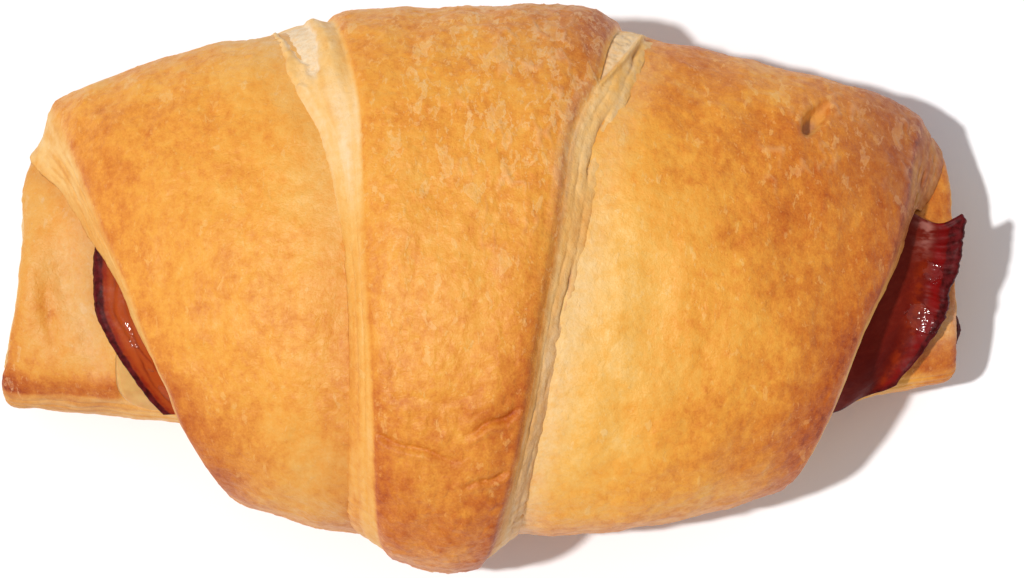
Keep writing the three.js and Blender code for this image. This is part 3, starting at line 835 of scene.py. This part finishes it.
def crease_depth(x, roll):
    """Folds pressed into the tip band: a groove with a swollen edge below it."""
    depth = np.zeros_like(x)
    for (roll_a, x_a), (roll_b, x_b), deep, wide in TIP_CREASES:
        way = np.array([x_b - x_a, (roll_b - roll_a) * ROUND_SCALE])
        length = np.hypot(*way)
        way = way / length
        dx, dr = x - x_a, (roll - roll_a) * ROUND_SCALE
        along = np.clip((dx * way[0] + dr * way[1]) / length, 0, 1)
        off = np.hypot(dx - along * length * way[0], dr - along * length * way[1])
        side = (dr * way[0] - dx * way[1]) + 0.45 * np.sin(along * 9 + roll_a)
        ends = np.sin(math.pi * np.clip(along * 0.9 + 0.08, 0, 1)) ** 0.5
        near = bump(np.maximum(off - np.abs(side), 0), 1.2)
        depth += deep * ends * near * np.exp(-np.abs(side) / wide)
        depth -= 0.4 * deep * ends * near * bump(side - 1.8 * wide, 1.4 * wide)
    return depth


# The folds of the torn left side at the back: a ridge, an open pocket and a lobe.
ridge_line = curve_through((5, -33.2), (22, -31.4), (32, -30), (43, -28.9), (51, -25.1))
pocket_line = curve_through((5, -30.4), (24, -28.2), (35, -26.8), (41, -26))
lobe_line = curve_through((5, -27.2), (30, -23.6), (42, -22.4))


def left_folds(grid):
    """Relief of the torn left side at the back, and its open pocket."""
    points, x, roll, share, _ = parts_of(grid)
    left = grid["right"] < 0.5
    window = step(2, 8, roll) * step(53, 44, roll) * left
    half = mix(2.3, 0.5, step(22, 47, roll))
    inside = step(0.5, -0.3, np.abs(x - pocket_line(roll)) - half + 0.4 * noise(points, 1.5, 33))
    pocket = step(2, 8, roll) * step(46, 40, roll) * left * inside
    folds = 0.5 * bump(x - ridge_line(roll), 0.7) * window * (1 + 1.2 * noise(points, 1.4, 35))
    folds += 0.55 * bump(x - lobe_line(roll), 1.1) * window
    folds += 0.7 * np.sin(math.pi * share) * step(62, 44, roll)
    return folds, window, pocket


def right_leaf(grid):
    """At the top of the right side a leaf of pale dough has lifted behind a thick lip."""
    roll, share = grid["roll"], grid["share"]
    lip_share = 0.34 + 0.66 * np.clip((roll - 20) / 27, 0, 1) ** 2.2
    leaf = (grid["right"] > 0.5) * step(10, 18, roll) * step(49, 45, roll)
    pocket = leaf * step(0.05, 0.12, share - lip_share) * step(0.99, 0.93, share)
    return leaf, 0.7 * leaf * bump(share - lip_share, 0.08), pocket


def tip_relief(grid):
    points, x, roll, share, on_top = parts_of(grid)
    right = grid["right"] > 0.5
    top_right = step(-8, 6, x) * step(100, 70, roll)
    worms = (0.2 + 0.8 * top_right) * step(112, 85, roll) * worm_wrinkles(points, 83)
    crust = crust_relief(points, 17, 1.1) - crease_depth(x, roll) + 0.22 * worms
    left_depth = grooves(share, roll, TIP_LEFT_LAYERS, 51) * step(40, 60, roll)
    depth = np.where(right, grooves(share, roll, TIP_RIGHT_LAYERS, 71), left_depth)
    folds, window, pocket = left_folds(grid)
    leaf, lip, right_pocket = right_leaf(grid)
    crumbs = (0.05 + 0.10 * right + 0.10 * window + 0.2 * right_pocket) * rough_noise(points, 2.0, 9, 3)
    slot = 0.7 * right_pocket * bump(share - 0.955, 0.025)
    cut = crumbs - depth * (1 - right_pocket) - 0.7 * pocket + folds + lip - 0.25 * right_pocket - slot

    flour = pocket + 0.6 * right_pocket + 0.3 * right * step(0.9, 0.3, share) * step(70, 110, roll)
    flour += 0.5 * ~right * bump(share - 0.6, 0.14) * step(44, 52, roll) * step(84, 66, roll)
    # Paler up the right cut side: painted light on a side that faces away from the light.
    flour += 0.15 * right * (1 - leaf) * step(90, 66, roll)
    values = side_values(grid, depth, flour=np.clip(flour, 0, 1), raised=worms * on_top)
    right_tone = (0.55 + 0.2 * step(60, 110, roll)) * step(0.0, 0.14, share) * step(0.99, 0.95, share)
    side_tone = np.where(right, right_tone, mix(0.8, 0.3, step(66, 92, roll)))
    values["cut"] *= mix(side_tone, 1.0, right_pocket)
    return mix(cut, crust, on_top), values


def tip_tones(grid):
    x, roll, share, right = (grid[key] for key in ("x", "roll", "share", "right"))
    from_left, from_right = x - tip_left_top(roll), tip_right_top(roll) - x
    brown = 0.41 + 0.04 * step(60, 20, roll) + 0.16 * bump(from_right, 9) * bump(roll - 25, 26)
    brown += 0.10 * bump(from_right, 6) + 0.13 * step(102, 128, roll) + 0.06 * step(165, 195, roll)
    brown += 0.12 * step(80, 105, roll) * (bump(from_left, 4) + bump(from_right, 5))
    # Browner in the creases, by their depth: painted shade in their grooves.
    brown += 0.12 * bump(roll - 148, 14) * step(2, -10, x) + 0.07 * np.clip(crease_depth(x, roll), 0, 1)
    on_left = 0.12 + 0.22 * step(66, 92, roll) + 0.14 * step(0.62, 0.40, share) * step(92, 116, roll)
    # On the right cut side, the browning lower down and towards the shoulder, and shaded, are painted shade
    # on a side that faces away from the light.
    on_right = 0.16 + 0.18 * step(56, 84, roll) + 0.14 * step(0.72, 0.92, share)
    shaded = 0.12 * step(80, 118, roll) + 0.20 * step(0.74, 0.92, share) * step(50, 66, roll)
    # Painted purple-grey sheen on top at the back right, and a little painted shade all over and more at the
    # front.
    dusk = 0.07 + 0.26 * step(70, 30, roll) * step(-4, 10, x) * grid["on_top"] + 0.05 * bump(roll - 146, 16)
    return {
        "brown": mix(np.where(right > 0.5, on_right, on_left), brown, baked_skin(grid)),
        "flaky": 0.35 + 0.40 * step(95, 50, roll) * step(-22, -4, x) - 0.25 * step(100, 124, roll),
        "dusk": dusk + shaded * right * (1 - grid["on_top"]),
    }


def spaced(*stretches):
    """Numbers along stretches given as (from, to, spacing), each running on from the one before."""
    parts = [np.arange(low, high, gap) for low, high, gap in stretches]
    return np.append(np.concatenate(parts), stretches[-1][1]).astype(float)


# What each band's entries are:
# rolls, across and side_steps give its grid, and under and level are the levels of its inside and outside.
# feet and tops are the left and right edges of its cut sides, and ragged is how uneven their feet are.
# rise is how a cut side goes up: hollow above 1, full below 1. drop is how far the top rounds over beside it.
# floor is the least height of its outside and of its inside.
# tucked is 1 where the band's end passes underneath, and 0 where it lies open at the front.
LEFT_WRAP = {
    "name": "left_wrap",
    "rolls": spaced((-180, -14, 2.0), (-14, 190, 0.57)),
    "across": np.linspace(0, 1, 150) ** 1.35,
    "side_steps": (46, 4),
    "under": steady(0.0),
    "level": climb,
    "feet": (wide_left_foot, half_way),
    "tops": (wide_left_top, half_way),
    "foot_lift": wide_foot_lift,
    # At the back this side ends in a notch.
    "rise": (curve_through((8, 1.3), (24, 1.2), (44, 0.75)), steady(1.0)),
    "ragged": (0.5, 0),
    "drop": (1.3, 1.3),
    "floor": (0.45, 0.7),
    "tucked": 1,
    "seed": 0.8,
    "relief": left_wrap_relief,
    "tones": left_wrap_tones,
}
RIGHT_WRAP = {
    **LEFT_WRAP,
    "name": "right_wrap",
    "rolls": spaced((-180, -14, 2.0), (-14, 190, 0.62)),
    "across": 1 - np.linspace(1, 0, 166) ** 1.2,
    "side_steps": (4, 46),
    "feet": (half_way, wide_right_foot),
    "tops": (half_way, wide_right_top),
    "rise": (steady(1.0), steady(0.75)),
    "ragged": (0, 0.6),
    "relief": right_wrap_relief,
    "tones": right_wrap_tones,
}
TIP_BAND = {
    "name": "tip_band",
    "rolls": spaced((-180, -14, 2.4), (-14, 206, 0.54)),
    "across": np.linspace(0, 1, 104),
    "side_steps": (38, 40),
    "under": climb,
    "level": tip_level,
    "feet": (tip_left_foot, tip_right_foot),
    "tops": (tip_left_top, tip_right_top),
    "foot_lift": tip_foot_lift,
    "rise": (steady(0.6), steady(0.8)),
    "ragged": (0.8, 1.0),
    "drop": (0.8, 1.3),
    "floor": (0.03, 0.25),
    "tucked": 0,
    "seed": 1.4,
    "relief": tip_relief,
    "tones": tip_tones,
}


# The filling.

# How many rows in from its rim a slice is full.
RIM_ROWS = 3.0
# The ham is rolled thinner where it shows.
HAM_THINNED = 0.72
INNER_HAM_HALF = 0.9
CHEESE_LIFT = 0.25
CHEESE_HALF = 0.32
cheese_left = curve_through(
    (0.14, -57.2), (0.3, -57.4), (0.52, -56.6), (0.62, -57.2), (0.7, -57.4), (0.88, -57.2), (1.0, -56.2),
    (1.07, -54.6), (1.13, -51.5))


def rows_between(start, end, count):
    """Rows of places along the roll, from one edge to another."""
    return mix(start, end, np.linspace(0, 1, count)[:, None])


def at_right_end(x):
    """0 where the ham is hidden and 1 at its right end."""
    return step(52, 64, x)


def slice_point(x, rounds, lift):
    """A point of the filling between the core and the wide wrap, rounds 0 at its back edge and 1 in front."""
    roll = mix(ham_back_roll(x), ham_front_roll(x), rounds)
    wave = 0.35 * np.sin(x / 7.3 + 4 * rounds)
    return skin_point(x, roll, 0.0, lift + wave)


def fullness(shape):
    """How full a slice is at each grid point: 0 on its rim, and 1 a few rows in."""
    i, j = np.indices(shape)
    edge = np.minimum(np.minimum(i, shape[0] - 1 - i), np.minimum(j, shape[1] - 1 - j))
    share = np.clip(edge / RIM_ROWS, 0, 1)
    return np.sqrt(share * (2 - share))


def slice_piece(name, upper, lower, values, material):
    """A thin slice from the grids of its two faces, which are joined where their rims coincide."""
    rows, width = upper.shape[:2]
    index = np.arange(rows * width).reshape(rows, width)
    corners = [index[:-1, :-1], index[1:, :-1], index[1:, 1:], index[:-1, 1:]]
    top = np.stack(corners, axis=-1).reshape(-1, 4)
    faces = np.concatenate([top, top[:, ::-1] + rows * width])
    doubled = {key: np.concatenate([value, value]) for key, value in values.items()}
    piece = make_piece(name, np.concatenate([upper, lower]), faces.tolist(), doubled, material)
    shell = bmesh.new()
    shell.from_mesh(piece.data)
    bmesh.ops.remove_doubles(shell, verts=shell.verts, dist=1e-7)
    shell.to_mesh(piece.data)
    shell.free()
    face_outward(piece.data)
    return piece


def layered_slice(name, x, rounds, middle, half, values, material):
    """A slice of the filling, from the height of its middle and half its thickness."""
    half = half * fullness(x.shape)
    faces = [slice_point(x, rounds, middle + side * half) for side in (1, -1)]
    return slice_piece(name, *faces, values, material)


def left_end_folds(x, from_left, turns):
    """A few thin folds that run along the ham's left rim: their relief, and 1 where they lie, for painted
    shade in their lines.
    """
    relief, fold_shade = 0 * x, 0 * x
    for k, across in enumerate((3.4, 4.9, 6.2)):
        fold = from_left - across - 0.9 * line_noise(turns, 22, 205 + k)
        strength = np.clip(0.7 + line_noise(turns, 12, 209 + k), 0, 1.2) * step(-44, -50, x)
        relief -= strength * (0.45 * np.exp(-np.abs(fold) / 0.22) - 0.2 * bump(fold - 0.7, 0.5))
        fold_shade = np.maximum(fold_shade, strength * bump(fold, 0.22))
    return relief, fold_shade


def ham_values(x, rounds, from_left, from_right, turns):
    """Where the ham is browned, red, deep, pale, fatty and wet."""
    near_end = at_right_end(x)
    rim_width = 0.9 + 1.0 * step(0.5, 0.3, rounds)
    past_rim = from_right - rim_width
    rim = np.maximum(bump(np.maximum(past_rim, 0), 0.7), bump(np.maximum(from_left - 0.9, 0), 0.8))
    rim = np.maximum(rim, 0.9 * bump(1 - rounds, 0.045) * step(46, 54, x))
    rim = np.maximum(rim, bump(rounds, 0.06) * step(71.0, 73.0, x))
    deep = np.maximum(step(6.2, 3.4, from_right), 0.7 * step(0.55, 0.8, rounds)) * near_end
    roll = mix(ham_back_roll(x), ham_front_roll(x), rounds)
    wet = bump(np.hypot(x - 70.0, 0.4 * (roll - 97)), 1.8) + bump(np.hypot(x - 68.2, 0.4 * (roll - 117)), 2.8)
    left_wet = bump(from_left - 4.0 - 0.8 * line_noise(turns, 18, 214), 0.9)
    wet = wet + 0.75 * left_wet * step(-0.2, 0.15, line_noise(turns, 9, 215))
    return {
        "rim": rim,
        "red": np.maximum(bump(past_rim - 1.5, 1.3) * near_end, 0.8 * bump(from_left - 1.9, 0.55)),
        "deep": deep,
        "pale": step(5.6, 7.6, from_right) * near_end,
        "glow": bump(past_rim - 3.5, 1.6) * near_end * step(0.15, 0.4, rounds),
        "fat": step(66, 70, x) * step(100, 82, roll) * (1 - deep),
        "wet": np.clip(wet, 0, 1),
        "left": step(-40, -50, x),
    }


def ham_piece(material):
    rounds = np.linspace(0, 1, 110)
    turns = 100 * rounds
    ragged = 0.5 * line_noise(turns, 6.0, 3) + 0.25 * line_noise(turns, 2.2, 4)
    left = ham_left(rounds) - 0.35 * ragged
    right = ham_right(rounds) + 0.8 * ragged - 0.2
    # Fine rows at both ends, and a few where the wide wrap hides them.
    hidden = np.linspace(-36, 42, 8)[:, None] + 0 * rounds
    x = np.concatenate([rows_between(left, -40, 60), hidden, rows_between(46, right, 84)])
    rounds = np.broadcast_to(rounds, x.shape)
    from_left, from_right = x - left, right - x

    # The right end cups in a gutter and curls up at its rim.
    curl = 2.0 * bump(from_right, 2.6) * mix(1.0, 0.45, step(0.5, 0.72, rounds))
    curl = at_right_end(x) * (curl - 0.9 * bump(from_right - 6.0, 3.2)) + 0.35 * bump(from_left, 2.0)
    # The rim is ruffled, and a few folds run along it at the left end.
    place = slice_point(x, rounds, HAM_LIFT)
    ruffle = bump(np.minimum(from_right, from_left), 0.8) * noise(place, 1.7, 203)
    folds, fold_shade = left_end_folds(x, from_left, turns)
    ripple = 0.24 * noise(place, 5, 201) + 0.12 * noise(place, 2.2, 202) + 0.32 * ruffle + folds
    visible = np.clip(step(-50, -56, x) + step(48, 56, x), 0, 1)
    middle = HAM_LIFT + HAM_THICK / 2 + curl + visible * ripple
    half = HAM_THICK / 2 * mix(1, HAM_THINNED, visible)
    values = {**ham_values(x, rounds, from_left, from_right, turns), "fold": fold_shade}
    return layered_slice("ham_slice", x, rounds, middle, half, values, material)


def inner_ham_piece(material):
    across = np.linspace(0, 1, 70)
    ragged = 0.35 * line_noise(100 * across, 5.0, 8) + 0.2 * line_noise(100 * across, 2.0, 9)
    left = mix(-71.9, -73.6, across) - 0.3 * ragged
    right = mix(73.5, 75.1, bump(across - 0.86, 0.15)) + 0.5 * ragged
    # Rows close together at both ends, and a few between.
    shares = np.concatenate([np.linspace(0, 0.06, 14), np.linspace(0.12, 0.88, 8), np.linspace(0.94, 1, 14)])
    x = mix(left, right, shares[:, None])
    _, y, z = np.moveaxis(core_centre(x), -1, 0)
    spot = np.stack([x, y + INNER_HAM_BACK - INNER_HAM_WIDTH * across, z + ham_arch(x, across)], axis=-1)
    ripple = 0.2 * noise(spot, 4, 77)
    half = INNER_HAM_HALF * fullness(x.shape)
    up = np.array([0.0, 0.0, 1.0])
    faces = [spot + up * (ripple + side * half)[..., None] for side in (1, -1)]
    rim = np.maximum(bump(right - x, 1.0), bump(x - left, 1.0))
    return slice_piece("inner_ham_slice", *faces, {"rim": rim, "deep": np.ones_like(x)}, material)


def cheese_piece(material):
    rounds = np.linspace(0.14, 1.13, 72)
    left = cheese_left(rounds)
    x = np.concatenate([rows_between(left, -40, 44), np.linspace(-36, 64, 10)[:, None] + 0 * rounds])
    rounds = rounds * mix(1.0, 0.78, step(-46, -38, x))
    middle = CHEESE_LIFT + 0.3 * bump(x - left, 2.0)
    return layered_slice("cheese_slice", x, rounds, middle, CHEESE_HALF, {}, material)


# Materials.

# What a white card would send back here, and the share of it that the sheen adds to every colour.
EXPOSURE = 1.16
SHEEN = 0.011


def linear(channel):
    """A channel given as it looks on a screen, 0 to 255, as Blender's linear value."""
    value = channel / 255
    return value / 12.92 if value <= 0.04045 else ((value + 0.055) / 1.055) ** 2.4


def seen(*channels):
    """The surface colour that looks like this on a screen under the studio's light."""
    return tuple(max(0.002, (linear(channel) - SHEEN) / EXPOSURE) for channel in channels) + (1.0,)


CRUST_TONES = [
    (0.00, seen(252, 203, 122)),
    (0.20, seen(249, 188, 92)),
    (0.40, seen(246, 171, 70)),
    (0.50, seen(239, 157, 62)),
    (0.60, seen(227, 140, 54)),
    (0.70, seen(215, 123, 47)),
    (0.80, seen(201, 105, 40)),
    (0.90, seen(181, 85, 36)),
    (1.00, seen(142, 59, 31)),
]
CUT_TONES = [
    (0.42, seen(255, 223, 168)),
    (0.60, seen(251, 202, 124)),
    (0.76, seen(243, 178, 90)),
    (0.92, seen(222, 144, 72)),
    (1.00, seen(204, 120, 60)),
]
FLESH_TONES = [(0.25, seen(100, 30, 24)), (0.50, seen(122, 42, 34)), (0.78, seen(148, 62, 48))]
BARK_TONES = [(0.35, seen(66, 20, 26)), (0.65, seen(104, 40, 42))]
CHEESE_TONES = [(0.3, seen(236, 186, 112)), (0.7, seen(222, 164, 92))]
FLOOR_TONES = [(0.0, (0.92, 0.94, 0.98, 1)), (1.0, (0.93, 0.95, 0.99, 1))]
# What the dough's colour is multiplied by where shade and sheen are painted into it: darker, and a little
# bluer for the sheen's purple-grey.
SHADE_AND_SHEEN_TINT = (0.57, 0.50, 1.12, 1.0)


def feed(value, socket):
    """Links a signal to a socket, or sets the socket to a plain number or colour."""
    if isinstance(value, Signal):
        socket.id_data.links.new(value.socket, socket)
    else:
        socket.default_value = value


class Signal:
    """What comes out of a node, so that the sums and products in a material can be written as such."""

    def __init__(self, socket):
        self.socket = socket

    def worked(self, operation, other):
        node = self.socket.id_data.nodes.new("ShaderNodeMath")
        node.operation = operation
        feed(self, node.inputs[0])
        feed(other, node.inputs[1])
        return Signal(node.outputs[0])

    def __add__(self, other):
        return self.worked("ADD", other)

    def __sub__(self, other):
        return self.worked("SUBTRACT", other)

    def __mul__(self, other):
        return self.worked("MULTIPLY", other)

    def clamped(self):
        self.socket.node.use_clamp = True
        return self


class Nodes:
    """A short way to build a material's node tree."""

    def __init__(self, name):
        self.material = bpy.data.materials.new(name)
        self.material.use_nodes = True
        self.tree = self.material.node_tree
        self.coordinates = self.add("ShaderNodeTexCoord", "Object")

    def add(self, kind, output, inputs=None, **settings):
        """The named or numbered output of a new node with these inputs and settings."""
        node = self.tree.nodes.new(kind)
        for key, value in settings.items():
            setattr(node, key, value)
        for key, value in (inputs or {}).items():
            feed(value, node.inputs[key])
        return Signal(node.outputs[output])

    def value(self, name):
        return self.add("ShaderNodeAttribute", "Fac", attribute_name=name)

    def noise_at(self, place, scale, detail, roughness, distortion=0.0):
        inputs = {"Vector": place, "Scale": scale, "Detail": detail}
        inputs.update(Roughness=roughness, Distortion=distortion)
        return self.add("ShaderNodeTexNoise", "Fac", inputs)

    def noise(self, per_mm, detail, roughness, stretch=(1, 1, 1), distortion=0.0):
        per_metre = [s / MM for s in stretch]
        place = self.add("ShaderNodeMapping", "Vector", {"Vector": self.coordinates, "Scale": per_metre})
        return self.noise_at(place, per_mm, detail, roughness, distortion)

    def span(self, value, low, high, to_low=0.0, to_high=1.0):
        inputs = {"Value": value, "From Min": low, "From Max": high, "To Min": to_low, "To Max": to_high}
        return self.add("ShaderNodeMapRange", "Result", inputs, interpolation_type="SMOOTHSTEP")

    def ramp(self, value, stops):
        color = self.add("ShaderNodeValToRGB", "Color", {"Fac": value})
        elements = color.socket.node.color_ramp.elements
        while len(elements) < len(stops):
            elements.new(0.5)
        for element, (place, tone) in zip(elements, stops):
            element.position = place
            element.color = tone
        return color

    def blend(self, amount, a, b, kind="MIX"):
        """One colour over another; the node's inputs 6 and 7 and its output 2 are its colours."""
        return self.add("ShaderNodeMix", 2, {0: amount, 6: a, 7: b}, data_type="RGBA", blend_type=kind)

    def bumps(self, *layers):
        """Bump maps in a chain, each a (height, millimetres deep) pair."""
        inputs = {"Strength": 1.0}
        for height, depth in layers:
            inputs.update({"Distance": depth * MM, "Height": height})
            inputs["Normal"] = normal = self.add("ShaderNodeBump", "Normal", inputs)
        return normal

    def finished(self, **inputs):
        """The material, with the shader's inputs fed; a name's _ stands for a space."""
        shader = self.tree.nodes["Principled BSDF"]
        for name, value in inputs.items():
            feed(value, shader.inputs[name.replace("_", " ")])
        return self.material


def dough_material():
    nodes = Nodes("baked_dough")
    brown, cut, flaky = (nodes.value(name) for name in ("brown", "cut", "flaky"))
    mottle = nodes.noise(0.6, 5, 0.62, distortion=0.3)
    clouds = [
        (nodes.noise(0.16, 4, 0.6), 0.50),
        (mottle, 0.42),
        (nodes.noise(0.8, 4, 0.6, stretch=(1, 0.55, 0.55)), 0.34),
        (nodes.noise(3.0, 3, 0.65), 0.30),
    ]
    baked = brown
    for cloud, amount in clouds:
        baked = baked + (cloud - 0.5) * amount

    # Thin flakes of skin, a little paler than what they lie on, with a paler rim.
    flakes, rims = [], []
    for per_mm, level, reach in ((0.36, 0.55, 0.14), (0.95, 0.56, 0.12)):
        field = nodes.noise(per_mm, 5, 0.6, stretch=(1.15, 0.62, 0.62), distortion=0.35)
        lowered = field + (flaky - 1.0) * reach
        flakes.append(nodes.span(lowered, level - 0.035, level + 0.005))
        rims.append(flakes[-1] - nodes.span(lowered, level + 0.01, level + 0.05))
    skin = flakes[0] + flakes[1] * 0.7
    crust = nodes.ramp((baked - skin * 0.10).clamped(), CRUST_TONES)
    crust = nodes.blend(skin * 0.13, crust, seen(248, 200, 140))
    crust = nodes.blend(((rims[0] + rims[1]) * (flaky * 0.38)).clamped(), crust, seen(252, 210, 150))
    crust = nodes.blend(nodes.value("raised") * 0.40, crust, seen(246, 184, 122))

    # Cut sides: pale streaks that run along the layers, brown in the gaps.
    place = nodes.add("ShaderNodeCombineXYZ", 0, {0: nodes.value("along") * 0.07, 1: nodes.value("side")})
    streaks = nodes.noise_at(place, 0.8, 3, 0.5)
    pale = nodes.ramp((streaks + 0.02) * 0.7 + mottle * 0.3 + brown * 0.4, CUT_TONES)
    pale = nodes.blend(nodes.span(nodes.value("gap"), 0.4, 1.1) * 0.85, pale, seen(162, 84, 44))
    color = nodes.blend(cut, crust, pale)

    powdery = nodes.span(nodes.noise(1.1, 4, 0.65), 0.35, 0.62, 0.45)
    color = nodes.blend((nodes.value("flour") * powdery).clamped(), color, seen(255, 231, 190))
    # Painted shade and painted purple-grey sheen, by the amount each point carries.
    color = nodes.blend(nodes.value("dusk"), color, SHADE_AND_SHEEN_TINT, "MULTIPLY")
    return nodes.finished(
        Base_Color=color,
        Roughness=nodes.span(mottle, 0.3, 0.7, 0.38, 0.54) + cut * 0.14,
        Specular_IOR_Level=0.3,
        Normal=nodes.bumps((nodes.noise(0.9, 4, 0.6, distortion=0.5), 0.20), (skin, 0.02),
                           (nodes.noise(3.2, 3, 0.6), 0.06)),
    )


def ham_material():
    nodes = Nodes("ham")
    streaks = nodes.span(nodes.noise(0.32, 3, 0.6, stretch=(0.6, 1.6, 1.0)), 0.42, 0.62)
    warm = nodes.span(nodes.noise(0.5, 3, 0.6), 0.40, 0.60, 0.15, 0.85)
    patchy = nodes.span(nodes.noise(0.45, 3, 0.6), 0.35, 0.6, 0.5, 0.95)
    layers = [
        ("pale", 0.6, seen(118, 44, 36)),
        ("left", 0.85, seen(182, 84, 40)),
        ("fat", streaks, seen(186, 122, 110)),
        ("deep", 0.92, seen(86, 10, 9)),
        ("glow", warm, seen(146, 54, 26)),
        ("red", patchy, seen(132, 6, 5)),
        # fold paints shade into the lines of the left end's folds.
        ("fold", 0.6, seen(112, 34, 22)),
    ]
    flesh = nodes.ramp(nodes.noise(0.55, 5, 0.68, stretch=(0.6, 1.2, 1.0), distortion=0.6), FLESH_TONES)
    for name, amount, tone in layers:
        flesh = nodes.blend(nodes.value(name) * amount, flesh, tone)
    rim = (nodes.value("rim") * nodes.span(nodes.noise(0.8, 3, 0.6), 0.2, 0.5, 0.7, 1.15)).clamped()
    bark = nodes.ramp(nodes.noise(0.9, 3, 0.6), BARK_TONES)

    # Small wet patches with crisp outlines, which catch the light as sparks.
    wet = nodes.span(nodes.value("wet") + (nodes.noise(0.9, 3, 0.6) - 0.5), 0.42, 0.52)
    normal = nodes.bumps((nodes.noise(0.5, 3, 0.5), 0.10), (nodes.noise(1.4, 1, 0.5) * wet, 0.20))
    return nodes.finished(
        Base_Color=nodes.blend(nodes.span(rim, 0.25, 0.8), flesh, bark),
        Roughness=nodes.span(nodes.noise(1.1, 3, 0.6), 0.35, 0.65, 0.40, 0.52),
        Specular_IOR_Level=0.06,
        Coat_Weight=wet * 0.75,
        Coat_Roughness=0.12,
        Subsurface_Weight=0.1,
        Subsurface_Scale=0.001,
        Subsurface_Radius=(1.0, 0.25, 0.15),
        Normal=normal,
        Coat_Normal=normal,
    )


def cheese_material():
    nodes = Nodes("melted_cheese")
    return nodes.finished(
        Base_Color=nodes.ramp(nodes.noise(0.5, 3, 0.5), CHEESE_TONES),
        Roughness=nodes.span(nodes.noise(0.8, 2, 0.5), 0.3, 0.7, 0.28, 0.4),
        Subsurface_Weight=0.3,
        Subsurface_Scale=0.002,
        Normal=nodes.bumps((nodes.noise(0.6, 2, 0.5), 0.1)),
    )


def floor_material():
    nodes = Nodes("studio_floor")
    return nodes.finished(Base_Color=nodes.ramp(nodes.noise(0.01, 2, 0.5), FLOOR_TONES), Roughness=0.9)


# The studio.

def add_studio():
    scene = bpy.context.scene
    scene.view_settings.view_transform = "Standard"

    camera = bpy.data.objects.new("camera", bpy.data.cameras.new("camera"))
    camera.data.sensor_width = SENSOR
    camera.data.lens = SENSOR * CAMERA_DISTANCE / METRES_PER_PIXEL / FRAME_WIDTH
    away = Vector((0, -math.sin(CAMERA_TILT), math.cos(CAMERA_TILT)))
    camera.location = CAMERA_TARGET + CAMERA_DISTANCE * away
    camera.rotation_euler = (CAMERA_TILT, 0, 0)
    camera.data.clip_start = 0.01
    scene.collection.objects.link(camera)
    scene.camera = camera

    sun = bpy.data.objects.new("key_light", bpy.data.lights.new("key_light", "SUN"))
    sun.data.energy = LIGHT_STRENGTH
    sun.data.color = LIGHT_COLOR
    sun.data.angle = LIGHT_SPREAD
    sun.rotation_euler = LIGHT_WAY.normalized().to_track_quat("-Z", "Y").to_euler()
    scene.collection.objects.link(sun)

    world = bpy.data.worlds.new("studio")
    world.use_nodes = True
    background = world.node_tree.nodes["Background"]
    background.inputs["Color"].default_value = SKY_COLOR
    background.inputs["Strength"].default_value = SKY_STRENGTH
    scene.world = world

    mesh = bpy.data.meshes.new("floor")
    corners = [(FLOOR_REACH * x, FLOOR_REACH * y, 0) for x, y in ((-1, -1), (1, -1), (1, 1), (-1, 1))]
    mesh.from_pydata(corners, [], [(0, 1, 2, 3)])
    floor = bpy.data.objects.new("floor", mesh)
    mesh.materials.append(floor_material())
    scene.collection.objects.link(floor)


def add_croissant():
    dough = dough_material()
    ham = ham_material()
    core = core_piece(dough)
    bands = [band_piece(band, dough) for band in (LEFT_WRAP, RIGHT_WRAP, TIP_BAND)]
    for piece in (core, *bands):
        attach(piece, "root")
        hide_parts("dough")
    for piece, node in ((ham_piece(ham), "ham"), (inner_ham_piece(ham), "inner_ham")):
        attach(piece, "root")
        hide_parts(node)
    cheese = cheese_piece(cheese_material())
    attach(cheese, "root")
    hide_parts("cheese")


add_studio()
add_croissant()
